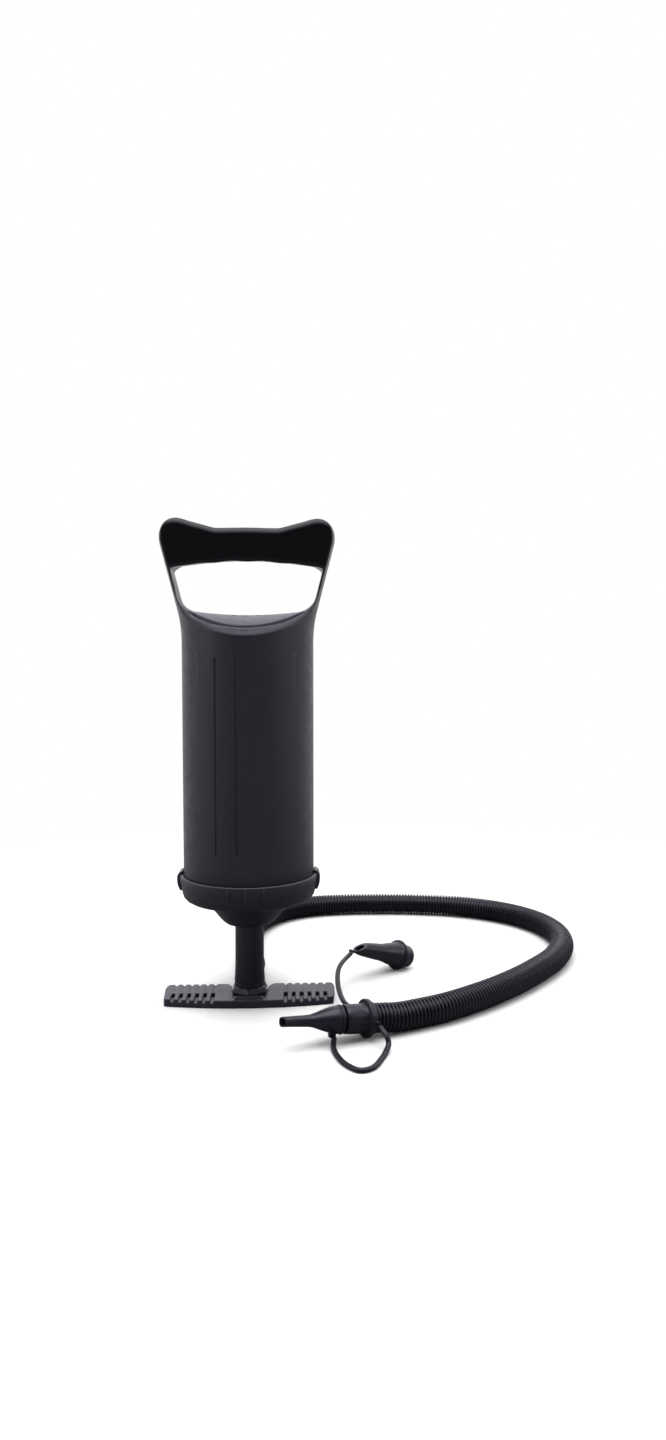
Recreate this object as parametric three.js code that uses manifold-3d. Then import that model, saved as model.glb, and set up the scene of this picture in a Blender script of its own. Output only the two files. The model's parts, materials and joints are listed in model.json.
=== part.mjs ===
// A double-action hand air pump: a barrel with a loop handle slides on a hollow rod that stands on a
// foot plate. A piston fixed on top of the rod divides the barrel in two chambers, and both strokes
// push air down the rod and out through a hose to a nozzle.
// Millimetres, +Z up. The origin is on the floor, on the rod's axis. The front of the pump faces -Y.
import * as THREE from "three";
import { mergeVertices } from "three/addons/utils/BufferGeometryUtils.js";
import Module from "manifold-3d";

const wasm = await Module();
wasm.setup();

// ---- driving dimensions ----
const gap = 0.3; // clearance between pieces that touch or run on each other
const seatLift = 1.6; // travel of each valve disc

const overallHeight = 368.3; // tops of the handle's ears, with the barrel at rest

const barrelRadius = 49.7;
const barrelWall = 2.0;
const handleHeight = 71.8; // crown of the deck up to the tops of the ears
const deckHeight = overallHeight - handleHeight;
const deckWall = 4.0;
const deckDrop = 12.5; // how far the deck falls to its front and rear lips
const handleHalfWidth = 65.9;
const handleDepth = 26.8; // front to back
const postThickness = 3.9;
const gripHeight = 26; // top of the saddle down to the finger side
const saddleDip = 7.4; // ears above the saddle
const saddleHalf = 24; // half the saddle's level middle
const earInset = 12.2; // from the widest place to the top of an ear
const airHoleCount = 12;
const airHoleRadius = 1.9;
const airHoleCircle = 17.4;
const airHolePhase = 26; // degrees
const grooveWidth = 2.2;
const grooveDepth = 0.8;
const grooveLowEnd = 122;
const grooveHighEnd = deckHeight - 32.5;
const grooveAngles = [-25, -7]; // degrees from the front, towards -X

const capRim = 99.6; // height of the cap's rim
const capDepth = 19.2; // rim to underside
const capWall = 2.8;
const capFloor = 3.1;
const neckDepth = 20.2; // underside of the cap to the bottom of the neck
const snapEarWidth = 14; // front to back
const ribAngle = 14; // degrees between the three ribs on the cap's front
const capHoleCount = 10;
const capHoleRadius = 2.0;

const rodRadius = 11.0;
const rodBore = 8.0;
const topRoom = 53.5; // crown of the deck down to the piston, room for the stroke below rest
const pistonTop = deckHeight - topRoom;
const pistonHeight = 21;
const pistonPlate = 3;
const sealHeight = 4.4;

const footWidth = 132.4;
const footFront = 20.4; // axis to the front edge, on the middle line
const footBow = 7; // how far the front edge falls back at the ends
const footRear = 17;
const footThickness = 6;
const ribPitch = 6.1;
const slotWidth = 2.9;

const collarAcross = 2 * rodRadius + 8.6; // across the corners of the stem base's collar
const collarTop = 11.4;
const stemSeat = 15; // top of the round seat above the collar, which carries the rod
const outletHeight = 9.4; // height of the outlet spigot's axis
const spigotRadius = 5.6;
const spigotBore = 4;

const hoseRadius = 10.25;
const cuffRadius = 9.3;
const flangeRadius = 13.1;
const nozzleTurn = 20.6; // degrees that the nozzle turns to the front, from -X
const nozzleLift = 6.7; // degrees that its tip lifts
const strapRadius = 1.5;

// ---- materials ----
const material = (color, roughness, metalness = 0) =>
  new THREE.MeshStandardMaterial({ color, roughness, metalness });
const housing = material(0x333338, 0.6);
const grey = material(0x5a5a62, 0.65);
const stemBlack = material(0x232327, 0.5);
const inner = material(0xb9bbb8, 0.55);
const rubber = material(0x17171a, 0.85);
const hoseBlack = material(0x202024, 0.5);
const nozzleBlack = material(0x2a2933, 0.45);
const steel = material(0x9a9ca0, 0.35, 1);

// ---- helpers ----
const roundSegments = 44; // on the barrel and the cap
// A closed geometry as a manifold-3d solid, turned right side out.
function solid(geometry) {
  const flat = geometry.index ? geometry.toNonIndexed() : geometry;
  const bare = new THREE.BufferGeometry().setAttribute("position", flat.getAttribute("position"));
  const merged = mergeVertices(bare, 1e-4);
  const index = merged.index.array;
  const faces = [];
  for (let i = 0; i < index.length; i += 3) {
    const [a, b, c] = index.slice(i, i + 3);
    if (a !== b && b !== c && c !== a) faces.push([a, b, c]);
  }
  const build = (list) =>
    new wasm.Manifold(
      new wasm.Mesh({
        numProp: 3,
        vertProperties: merged.attributes.position.array,
        triVerts: new Uint32Array(list.flat()),
      }),
    );
  const made = build(faces);
  return made.volume() < 0 ? build(faces.map(([a, b, c]) => [a, c, b])) : made;
}

function geometryOf(made) {
  const { vertProperties, numProp, triVerts } = made.getMesh();
  const position = new Float32Array((vertProperties.length / numProp) * 3);
  for (let i = 0; i < position.length / 3; i++)
    position.set(vertProperties.subarray(i * numProp, i * numProp + 3), i * 3);
  return new THREE.BufferGeometry()
    .setAttribute("position", new THREE.BufferAttribute(position, 3))
    .setIndex(new THREE.BufferAttribute(new Uint32Array(triVerts), 1));
}

const asSolid = (made) => (made.isBufferGeometry ? solid(made) : made);
const union = (...made) => made.map(asSolid).reduce((sum, next) => sum.add(next));
const cut = (...made) => made.map(asSolid).reduce((left, tool) => left.subtract(tool));
const common = (...made) => made.map(asSolid).reduce((left, next) => left.intersect(next));

function piece(name, made, look, x = 0, y = 0, z = 0) {
  const mesh = new THREE.Mesh(geometryOf(asSolid(made)), look);
  mesh.geometry.computeVertexNormals();
  mesh.name = name;
  mesh.position.set(x, y, z);
  return mesh;
}

function group(...children) {
  const made = new THREE.Group();
  made.add(...children);
  return made;
}

// A profile of [radius, height] points turned about Z.
const revolve = (profile, segments = 24) =>
  new THREE.LatheGeometry(
    profile.map(([r, z]) => new THREE.Vector2(r, z)),
    segments,
  ).rotateX(Math.PI / 2);

// A ring of rectangular section about Z.
const ring = (inside, outside, low, high, segments = 24) =>
  revolve([[inside, low], [outside, low], [outside, high], [inside, high], [inside, low]], segments);

const drum = (radius, low, high, segments = 20) =>
  revolve([[0, low], [radius, low], [radius, high], [0, high]], segments);

const box = (x0, x1, y0, y1, z0, z1) =>
  new THREE.BoxGeometry(x1 - x0, y1 - y0, z1 - z0).translate((x0 + x1) / 2, (y0 + y1) / 2, (z0 + z1) / 2);

const extrude = (shape, depth, extra = {}) =>
  new THREE.ExtrudeGeometry(shape, { depth, bevelEnabled: false, curveSegments: 5, ...extra });
const prismZ = (shape, low, high) => extrude(shape, high - low).translate(0, 0, low);
// An outline drawn in X and Z, extruded evenly to both sides along Y.
const plateXZ = (shape, depth, extra) =>
  extrude(shape, depth, extra).translate(0, 0, -depth / 2).rotateX(Math.PI / 2);
// An outline drawn in Y and Z, extruded evenly to both sides along X.
const plateYZ = (shape, depth) =>
  extrude(shape, depth)
    .translate(0, 0, -depth / 2)
    .applyMatrix4(
      new THREE.Matrix4().makeBasis(
        new THREE.Vector3(0, 1, 0),
        new THREE.Vector3(0, 0, 1),
        new THREE.Vector3(1, 0, 0),
      ),
    );
const alongY = (geometry) => geometry.rotateX(-Math.PI / 2); // +Z becomes +Y
const degrees = THREE.MathUtils.degToRad;

// Copies of a geometry, evenly spaced on a circle about Z.
function around(count, radius, phase, make) {
  return Array.from({ length: count }, (_, i) => {
    const angle = degrees(phase + (360 * i) / count);
    return make().translate(radius * Math.cos(angle), radius * Math.sin(angle), 0);
  });
}

// ---- handle outline ----
const postTop = overallHeight - 19.8; // where the straight posts turn into the ears
const postFoot = deckHeight + 10; // where the posts start to flare out of the barrel
const flareStart = deckHeight - 22;
const postFootHalf = barrelRadius + 4.7;
const postTopHalf = handleHalfWidth - 0.6;
const earX = handleHalfWidth - earInset;
const saddleZ = overallHeight - saddleDip;

const v2 = (x, y) => new THREE.Vector2(x, y);
// Half the handle's width, from the barrel up to an ear.
const sideCurve = new THREE.CurvePath();
sideCurve.add(
  new THREE.CubicBezierCurve(
    v2(barrelRadius, flareStart),
    v2(barrelRadius, flareStart + 16),
    v2(postFootHalf - 2.4, postFoot - 9.4),
    v2(postFootHalf, postFoot),
  ),
);
sideCurve.add(new THREE.LineCurve(v2(postFootHalf, postFoot), v2(postTopHalf, postTop)));
sideCurve.add(
  new THREE.CubicBezierCurve(
    v2(postTopHalf, postTop),
    v2(postTopHalf + 2.6, postTop + 10),
    v2(earX + 10.5, overallHeight),
    v2(earX, overallHeight),
  ),
);

// The barrel's outside with the flaring posts: a drum whose rows widen in X as the handle does.
function barrelOutside(low) {
  const rows = sideCurve.curves.flatMap((curve, i) =>
    curve.getPoints(i === 1 ? 1 : 5).slice(i ? 1 : 0),
  );
  const profile = [v2(0, low), v2(barrelRadius, low)];
  rows.forEach((row) => profile.push(v2(barrelRadius, row.y)));
  profile.push(v2(0, overallHeight));
  const geometry = new THREE.LatheGeometry(profile, roundSegments).rotateX(Math.PI / 2);
  const position = geometry.getAttribute("position");
  for (let i = 0; i < position.count; i++) {
    const row = rows.find((r) => Math.abs(r.y - position.getZ(i)) < 1e-3);
    if (row) position.setX(i, (position.getX(i) * row.x) / barrelRadius);
  }
  return geometry;
}

// The handle seen from the side: full depth up to the deck's lips, then in to the grip's depth.
function sideTrim() {
  const half = handleDepth / 2;
  const lip = deckHeight - deckDrop;
  const wide = barrelRadius + 6;
  const shape = new THREE.Shape();
  shape.moveTo(-wide, 0);
  shape.lineTo(wide, 0);
  shape.lineTo(wide, lip);
  shape.lineTo(barrelRadius + 0.4, lip);
  shape.lineTo(half + 13.6, deckHeight - 1.4);
  shape.bezierCurveTo(half + 5, deckHeight + 3, half + 0.9, postFoot + 2, half + 0.3, postFoot + 14);
  shape.lineTo(half, overallHeight - 34);
  shape.lineTo(half, overallHeight - 11);
  shape.lineTo(half - 1, overallHeight - 7.4);
  shape.lineTo(half - 3, overallHeight - 4);
  shape.lineTo(half - 6.4, overallHeight + 1);
  shape.lineTo(6.4 - half, overallHeight + 1);
  shape.lineTo(3 - half, overallHeight - 4);
  shape.lineTo(1 - half, overallHeight - 7.4);
  shape.lineTo(-half, overallHeight - 11);
  shape.lineTo(-half, overallHeight - 34);
  shape.lineTo(-half - 0.3, postFoot + 14);
  shape.bezierCurveTo(-half - 0.9, postFoot + 2, -half - 5, deckHeight + 3, -half - 13.6, deckHeight - 1.4);
  shape.lineTo(-barrelRadius - 0.4, lip);
  shape.lineTo(-wide, lip);
  return plateYZ(shape, 2 * handleHalfWidth + 20);
}

// The hand opening. Its floor, the deck, falls away to the front and the rear.
function handOpening() {
  const top = saddleZ - gripHeight;
  const lean = (postTopHalf - postFootHalf) / (postTop - postFoot);
  const innerAt = (z) => postFootHalf + lean * (z - postFoot) - postThickness;
  const shape = new THREE.Shape();
  const side = postFoot + 4;
  shape.moveTo(-38, deckHeight + 2.4);
  shape.quadraticCurveTo(0, deckHeight - 2.4, 38, deckHeight + 2.4);
  shape.bezierCurveTo(45, deckHeight + 3.5, innerAt(side) - 1.5, postFoot - 2, innerAt(side), side);
  shape.lineTo(innerAt(top - 5), top - 5);
  shape.lineTo(innerAt(top) - 3, top - 3.6);
  shape.quadraticCurveTo(30, top + 1.4, 0, top + 1.4);
  shape.quadraticCurveTo(-30, top + 1.4, 3 - innerAt(top), top - 3.6);
  shape.lineTo(-innerAt(top - 5), top - 5);
  shape.lineTo(-innerAt(side), side);
  shape.bezierCurveTo(1.5 - innerAt(side), postFoot - 2, -45, deckHeight + 3.5, -38, deckHeight + 2.4);
  const geometry = plateXZ(shape, 2 * barrelRadius + 8, { steps: 12 });
  const position = geometry.getAttribute("position");
  for (let i = 0; i < position.count; i++) {
    const z = position.getZ(i);
    const share = THREE.MathUtils.clamp((postFoot + 18 - z) / 14, 0, 1);
    position.setZ(i, z - share * deckDrop * (position.getY(i) / barrelRadius) ** 2);
  }
  return geometry;
}

function saddle() {
  const shape = new THREE.Shape();
  shape.moveTo(-earX, overallHeight);
  shape.lineTo(-saddleHalf - 3, saddleZ + 0.6);
  shape.quadraticCurveTo(-saddleHalf, saddleZ, -saddleHalf + 4, saddleZ);
  shape.quadraticCurveTo(0, saddleZ + 0.8, saddleHalf - 4, saddleZ);
  shape.quadraticCurveTo(saddleHalf, saddleZ, saddleHalf + 3, saddleZ + 0.6);
  shape.lineTo(earX, overallHeight);
  shape.lineTo(earX, overallHeight + 8);
  shape.lineTo(-earX, overallHeight + 8);
  return plateXZ(shape, 2 * barrelRadius + 8);
}

// ---- barrel group: everything that moves with the handle ----
const capBottom = capRim - capDepth;
const floorTop = capBottom + capFloor;
const gasketHeight = 1.4;
const barrelLow = floorTop + gasketHeight + 2 * gap;
const bore = barrelRadius - barrelWall;
const seatZ = deckHeight - deckWall; // underside of the deck, the top intake's seat
const discThickness = 1.2;
const bossRadius = 5.5;
const bossLow = seatZ - seatLift - discThickness - gap;
const retainerStem = 2.6;

function barrel() {
  const chamber = revolve([
    [0, barrelLow - 5],
    [bore, barrelLow - 5],
    [bore, seatZ - 13],
    [30, seatZ - 3.5],
    [24.5, seatZ],
    [0, seatZ],
  ], roundSegments);
  const boss = drum(bossRadius, bossLow, seatZ + 1);
  const holes = around(airHoleCount, airHoleCircle, airHolePhase, () =>
    drum(airHoleRadius, seatZ - 2, deckHeight + 6, 8),
  );
  const grooveHalf = grooveWidth / 2;
  const grooveFloor = grooveDepth - barrelRadius;
  const grooves = grooveAngles.map((angle) =>
    box(-grooveHalf, grooveHalf, -barrelRadius - 3, grooveFloor, grooveLowEnd, grooveHighEnd)
      .rotateZ(degrees(angle)),
  );
  const outside = cut(common(barrelOutside(barrelLow), sideTrim()), saddle(), handOpening());
  return cut(
    union(cut(outside, chamber), boss),
    drum(retainerStem + gap, bossLow - 1, seatZ + 1.9),
    ...holes,
    ...grooves,
  );
}

function topIntakeRetainer() {
  const head = bossLow - gap;
  return revolve([
    [0, head - 2.2],
    [9.6, head - 2.2],
    [11, head - 1.2],
    [11, head],
    [retainerStem, head],
    [retainerStem, seatZ + 1.6],
    [0, seatZ + 1.6],
  ]);
}

const neckLow = capBottom - neckDepth;
const hubInside = rodRadius + gap + 2.5 + gap; // the guide bush stands in this
const hubOutside = hubInside + 2.4;
const hubTop = capBottom + 10.5;
const wiperHeight = 4;
const capInside = barrelRadius + gap;
const capOutside = capInside + capWall;
const capHoleCircle = capInside - 8;
const retainerWall = capInside - 14.3; // inner radius of the bottom intake's retainer

function snapEar(turn) {
  const outsideX = capOutside + 2;
  const low = capBottom + 7;
  const high = capRim + 2.6;
  const shape = new THREE.Shape();
  shape.moveTo(capInside + 0.2, low);
  shape.lineTo(capOutside - 0.6, low);
  shape.bezierCurveTo(outsideX, low + 4, outsideX, low + 7, outsideX, low + 10);
  shape.bezierCurveTo(outsideX, high - 2.5, outsideX - 2, high, capInside + 0.2, high);
  const slot = new THREE.Path();
  slot.moveTo(capOutside + 0.2, low + 3.5);
  slot.lineTo(capOutside + 1, low + 5);
  slot.lineTo(capOutside + 1, low + 9);
  slot.lineTo(capOutside + 0.2, low + 9.5);
  shape.holes.push(slot);
  const sleeve = ring(capInside + 0.1, outsideX + 4, low, high + 1, roundSegments);
  return common(plateXZ(shape, snapEarWidth).rotateZ(turn), sleeve);
}

function bottomCap() {
  const shell = revolve([
    [rodRadius + gap, neckLow],
    [15.5, neckLow + 0.3],
    [19.4, neckLow + 2.2],
    [22.6, neckLow + 5.8],
    [26.9, neckLow + 12.3],
    [30.6, neckLow + 18.2],
    [35.8, capBottom],
    [capOutside - 7.8, capBottom],
    [capOutside - 4.5, capBottom + 1.2],
    [capOutside - 2.5, capBottom + 3.6],
    [capOutside - 1.5, capBottom + 7],
    [capOutside, capRim - 1],
    [capOutside - 0.5, capRim],
    [capInside, capRim],
    [capInside, floorTop],
    [retainerWall - 1, floorTop],
    [28, neckLow + 16.5],
    [23.9, neckLow + 11],
    [20, neckLow + 6.5],
    [hubOutside, neckLow + 4.4],
    [hubOutside, hubTop],
    [hubInside, hubTop],
    [hubInside, neckLow + 3],
    [rodRadius + gap, neckLow + 3],
    [rodRadius + gap, neckLow],
  ], roundSegments);
  const ribs = [-ribAngle, 0, ribAngle].map((angle) =>
    box(-0.7, 0.7, -capOutside - 0.3, 2 - capOutside, capRim - 9.5, capRim - 1.6).rotateZ(degrees(angle)),
  );
  const holes = around(capHoleCount, capHoleCircle, 18, () =>
    drum(capHoleRadius, capBottom - 2, floorTop + 2, 8),
  );
  return cut(union(shell, ...ribs, snapEar(0), snapEar(Math.PI)), ...holes);
}

const bushLow = neckLow + 3 + gap + wiperHeight + gap;
const bottomRingLow = floorTop + gap;
const clipLow = floorTop + gap;
const clipLip = bottomRingLow + discThickness + seatLift + gap;
const clipOutside = retainerWall + 1.9;
const intakeRetainer = revolve([
  [retainerWall, clipLow],
  [clipOutside, clipLow],
  [clipOutside, clipLip],
  [clipOutside + 3.3, clipLip],
  [clipOutside + 3.3, clipLip + 1.4],
  [retainerWall, clipLip + 1.4],
  [retainerWall, clipLow],
]);

const barrelPieces = group(
  piece("barrel", barrel(), housing),
  piece("bottom_cap", bottomCap(), housing),
  piece(
    "cap_gasket",
    ring(bore + gap, barrelRadius - 0.2, floorTop + gap, floorTop + gap + gasketHeight),
    rubber,
  ),
  piece("guide_bush", ring(rodRadius + gap, hubInside - gap, bushLow, hubTop - 0.5), inner),
  piece("top_intake_retainer", topIntakeRetainer(), inner),
  piece("bottom_intake_retainer", intakeRetainer, inner),
  piece(
    "top_intake_disc",
    ring(bossRadius + gap, airHoleCircle + airHoleRadius + 2.8, bossLow, bossLow + discThickness),
    rubber,
  ),
  piece(
    "bottom_intake_ring",
    ring(clipOutside + gap, capHoleCircle + capHoleRadius + 2, bottomRingLow, bottomRingLow + discThickness),
    rubber,
  ),
);
const wiperLow = neckLow + 3 + gap;
const wiper = revolve([
  [rodRadius + gap, wiperLow],
  [hubInside - gap, wiperLow],
  [hubInside - gap, wiperLow + wiperHeight],
  [rodRadius + 1.3, wiperLow + wiperHeight],
  [rodRadius + gap, wiperLow + wiperHeight - 1.5],
  [rodRadius + gap, wiperLow],
]);
const rodWiper = piece("rod_wiper", wiper, rubber);

// ---- base group: foot, stem, piston ----
const footHalf = footWidth / 2;
const socketRadius = rodRadius - 1.5;
const stemPlugLow = 9;
const stemFootRadius = rodRadius + 0.7;
const wellRadius = 9; // blind well in the foot for the stem base
const wellFloor = 1.7;
const footScrewX = collarAcross / 2 - 2.8;
const recessHalf = 13; // the rear recess that the hose cuff lies in
const recessY = 8;
const firstSlotX = 27.9;
const lastSlotX = footHalf - 6.5;
const slotPlaces = [];
for (let x = firstSlotX; x < lastSlotX; x += ribPitch) slotPlaces.push(x);

function footPlate() {
  const end = footFront - footBow;
  const shape = new THREE.Shape();
  shape.moveTo(-footHalf + 1.5, -end + 1);
  shape.quadraticCurveTo(-footHalf + 1.5, -end - 1, -footHalf + 5, -end - 1.2);
  shape.quadraticCurveTo(0, -footFront - footBow + 0.9, footHalf - 5, -end - 1.2);
  shape.quadraticCurveTo(footHalf - 1.5, -end - 1, footHalf - 1.5, -end + 1);
  shape.lineTo(footHalf, 6);
  shape.quadraticCurveTo(footHalf, footRear, footHalf - 4, footRear);
  const notch = (x) => {
    shape.lineTo(x + 1.6, footRear);
    shape.quadraticCurveTo(x, footRear - 4, x - 1.6, footRear);
  };
  [...slotPlaces].reverse().forEach((x) => notch(x));
  shape.lineTo(recessHalf + 7, footRear);
  shape.quadraticCurveTo(recessHalf + 4, footRear, recessHalf, recessY);
  shape.lineTo(-recessHalf, recessY);
  shape.quadraticCurveTo(-recessHalf - 4, footRear, -recessHalf - 7, footRear);
  slotPlaces.forEach((x) => notch(-x));
  shape.lineTo(4 - footHalf, footRear);
  shape.quadraticCurveTo(-footHalf, footRear, -footHalf, 6);
  const plate = prismZ(shape, 0, footThickness);
  const pad = box(-11, 11, -footFront + 1.2, -collarAcross / 2, footThickness - 1, footThickness + 2.2);
  const slots = slotPlaces.flatMap((x) =>
    [x, -x].flatMap((at) => {
      const low = at - slotWidth / 2;
      const high = at + slotWidth / 2;
      return [
        box(low, high, -footFront - 2, -6.5, 3.7, footThickness + 1),
        box(low, high, -6.6, -3, 1.6, footThickness + 1),
        box(low + 0.5, high - 0.5, -1, footRear + 1, footThickness - 0.7, footThickness + 1),
      ];
    }),
  );
  const screwHoles = [-footScrewX, footScrewX].flatMap((x) => [
    drum(2.7, -1, 2.7, 20).translate(x, 0, 0),
    drum(1.7, 0, footThickness + 2, 16).translate(x, 0, 0),
  ]);
  const bed = spigotRadius + gap; // the outlet spigot lies in the plate's top
  return cut(
    union(plate, pad),
    drum(wellRadius, wellFloor, footThickness + 4, 40),
    box(-bed, bed, 0, footRear, outletHeight - bed, footThickness + 4),
    ...slots,
    ...screwHoles,
  );
}

const spigotLength = 40;
function stemBase() {
  const collar = revolve([
    [0, footThickness + gap],
    [collarAcross / 2 - 0.8, footThickness + gap],
    [collarAcross / 2, footThickness + gap + 0.6],
    [collarAcross / 2, footThickness + gap + 1.2],
    [collarAcross / 2 - 1.7, collarTop],
    [0, collarTop],
  ], 6);
  const seat = drum(stemFootRadius, collarTop - 1, stemSeat, 40);
  const root = drum(wellRadius - gap, wellFloor + gap, footThickness + 1, 40);
  const spigot = alongY(
    revolve([
      [0, 0],
      [spigotRadius, 0],
      [spigotRadius, spigotLength - 8],
      [spigotRadius + 0.5, spigotLength - 7],
      [spigotRadius - 0.4, spigotLength],
      [0, spigotLength],
    ], 24),
  ).translate(0, 0, outletHeight);
  const screwHoles = [-footScrewX, footScrewX].map((x) =>
    drum(1.7, 0, footThickness + 2.8, 16).translate(x, 0, 0),
  );
  return cut(
    union(collar, seat, root, spigot),
    drum(socketRadius + gap, stemPlugLow - gap, stemSeat + 2, 40),
    drum(rodBore - 0.4, outletHeight - spigotBore - 1, stemPlugLow, 32),
    alongY(drum(spigotBore, 0, spigotLength + 2, 20)).translate(0, 0, outletHeight),
    ...screwHoles,
  );
}

const pistonLow = pistonTop - pistonHeight;
const rodTop = pistonLow - 2;
const pistonRadius = bore - 1;
const grooveRadius = bore - 5.2; // bottom of the piston seal's groove
const grooveLow = pistonLow + 4.5 + pistonPlate;
const screwCircle = grooveRadius - 5.5;
const postRadius = 3.4;
const guideRadius = 17.8; // wall that guides the check ring and carries the check disc
const guideTop = pistonTop - pistonPlate - discThickness - seatLift - 2 * gap;

const pistonRod = () =>
  revolve([
    [socketRadius, stemPlugLow],
    [socketRadius, stemSeat + gap],
    [stemFootRadius, stemSeat + gap],
    [stemFootRadius - 0.3, stemSeat + 5],
    [rodRadius, stemSeat + 15],
    [rodRadius, rodTop],
    [rodBore, rodTop],
    [rodBore, stemPlugLow],
    [socketRadius, stemPlugLow],
  ]);

function pistonLowerHalf() {
  const body = revolve([
    [rodRadius + gap, pistonLow - 12],
    [rodRadius + 3.2, pistonLow - 12],
    [rodRadius + 3.6, pistonLow],
    [pistonRadius, pistonLow],
    [pistonRadius, grooveLow],
    [grooveRadius, grooveLow],
    [grooveRadius, grooveLow + sealHeight + gap],
    [grooveRadius - 2, grooveLow + sealHeight + gap],
    [grooveRadius - 2, pistonLow + pistonPlate],
    [guideRadius + 1.6, pistonLow + pistonPlate],
    [guideRadius + 1.6, guideTop],
    [guideRadius, guideTop],
    [guideRadius, pistonLow + pistonPlate],
    [rodBore, pistonLow + pistonPlate],
    [rodBore, rodTop + gap],
    [rodRadius + gap, rodTop + gap],
    [rodRadius + gap, pistonLow - 12],
  ]);
  const posts = around(3, screwCircle, 90, () => drum(postRadius, pistonLow + 1, pistonTop - 9, 16));
  const airHoles = around(8, 27, 22.5, () => drum(2.5, pistonLow - 1, pistonLow + pistonPlate + 1, 8));
  const windows = around(4, guideRadius, 45, () =>
    drum(4.2, pistonLow + pistonPlate + 2.6, guideTop - 1.8, 4),
  );
  const pilots = around(3, screwCircle, 90, () => drum(1.5 + gap, pistonLow + 2, pistonTop, 12));
  return cut(union(body, ...posts), ...airHoles, ...windows, ...pilots);
}

const upperRimLow = grooveLow + sealHeight + 2 * gap;
function pistonUpperHalf() {
  const plateLow = pistonTop - pistonPlate;
  const body = revolve([
    [0, plateLow],
    [22.2, plateLow],
    [22.2, plateLow - 3.4],
    [23.8, plateLow - 3.4],
    [23.8, plateLow],
    [grooveRadius - 2, plateLow],
    [grooveRadius - 2, upperRimLow],
    [pistonRadius, upperRimLow],
    [pistonRadius, pistonTop - 1],
    [pistonRadius - 1, pistonTop],
    [0, pistonTop],
  ]);
  const posts = around(3, screwCircle, 90, () => drum(postRadius, pistonTop - 9 + gap, plateLow + 1, 16));
  const airHoles = around(8, 13.5, 0, () => drum(2.5, plateLow - 1, pistonTop + 1, 8));
  const shankHoles = around(3, screwCircle, 90, () => drum(1.5 + gap, pistonTop - 12, pistonTop, 12));
  const headHoles = around(3, screwCircle, 90, () => drum(3.2, pistonTop - 2.2, pistonTop + 1, 16));
  return cut(union(body, ...posts), ...airHoles, ...shankHoles, ...headHoles);
}

const screw = (headRadius, headLow, headHigh, shankRadius, shankEnd, up) => {
  const head = drum(headRadius, headLow, headHigh, 16);
  const shank = up
    ? drum(shankRadius, headHigh - 0.2, shankEnd, 12)
    : drum(shankRadius, shankEnd, headLow + 0.2, 12);
  const face = up ? headLow : headHigh;
  const recess = [0, 90].map((turn) =>
    box(-1.6, 1.6, -0.4, 0.4, face - 0.9, face + 0.9).rotateZ(degrees(turn)),
  );
  return cut(union(head, shank), ...recess);
};

const sealRing = revolve([
  [grooveRadius + gap, grooveLow + gap],
  [bore - 0.8, grooveLow + gap],
  [bore - gap, grooveLow + 1.4],
  [bore - gap, grooveLow + sealHeight - 1],
  [bore - 0.8, grooveLow + sealHeight],
  [grooveRadius + gap, grooveLow + sealHeight],
  [grooveRadius + gap, grooveLow + gap],
]);
const checkLow = pistonLow + pistonPlate + gap;
const checkRing = ring(
  guideRadius + 1.6 + gap,
  screwCircle - postRadius - 0.8,
  checkLow,
  checkLow + discThickness,
);
const checkDisc = drum(21.6, guideTop + gap, guideTop + gap + discThickness, 24);
const footScrews = [-1, 1].map((side) => {
  const name = side < 0 ? "foot_screw_left" : "foot_screw_right";
  return piece(name, screw(2.4, 0.6, 2.4, 1.4, footThickness + 2.2, true), steel, side * footScrewX);
});
const pistonScrews = [1, 2, 3].map((number) => {
  const angle = degrees(90 + 120 * (number - 1));
  return piece(
    "piston_screw_" + number,
    screw(2.9, pistonTop - 1.9, pistonTop - 0.2, 1.5, pistonLow + 3, false),
    steel,
    screwCircle * Math.cos(angle),
    screwCircle * Math.sin(angle),
  );
});

const basePieces = group(
  piece("foot_plate", footPlate(), grey),
  piece("stem_base", stemBase(), stemBlack),
  piece("piston_rod", pistonRod(), stemBlack),
  piece("piston_lower_half", pistonLowerHalf(), inner),
  piece("piston_upper_half", pistonUpperHalf(), inner),
  piece("piston_seal", sealRing, rubber),
  piece("lower_check_ring", checkRing, rubber),
  piece("upper_check_disc", checkDisc, rubber),
  ...footScrews,
  ...pistonScrews,
);

// ---- hose group ----
// A plain tube along a smooth curve through hand-placed points.
function tube(points, radius, sides, steps) {
  const section = new THREE.Shape();
  for (let i = 0; i < sides; i++) {
    const angle = (2 * Math.PI * i) / sides;
    section[i ? "lineTo" : "moveTo"](radius * Math.cos(angle), radius * Math.sin(angle));
  }
  const path = new THREE.CatmullRomCurve3(points.map((p) => new THREE.Vector3(...p)));
  return new THREE.ExtrudeGeometry(section, { steps, extrudePath: path, bevelEnabled: false });
}

// A unit vector that points along -X, turned to the front and lifted by the given degrees.
const aimed = (turn, lift) =>
  new THREE.Vector3(
    -Math.cos(degrees(turn)) * Math.cos(degrees(lift)),
    -Math.sin(degrees(turn)) * Math.cos(degrees(lift)),
    Math.sin(degrees(lift)),
  );
// Puts a group at a place with its Z along an axis, its Y as nearly upright as the axis allows.
function lay(made, place, axis) {
  const level = new THREE.Vector3(0, 0, 1).cross(axis).normalize();
  const upright = axis.clone().cross(level);
  made.quaternion.setFromRotationMatrix(new THREE.Matrix4().makeBasis(level, upright, axis));
  made.position.copy(place);
  return made;
}

// The connector's flange rests on the floor, and the nozzle points left, to the front and a little up.
const nozzleAxis = aimed(nozzleTurn, nozzleLift);
const flangePlace = new THREE.Vector3(86.1, -75.3, flangeRadius * Math.cos(degrees(nozzleLift)) + gap);
const hoseStart = -2.9; // the hose's end, along the nozzle's axis from the back of the flange

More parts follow.
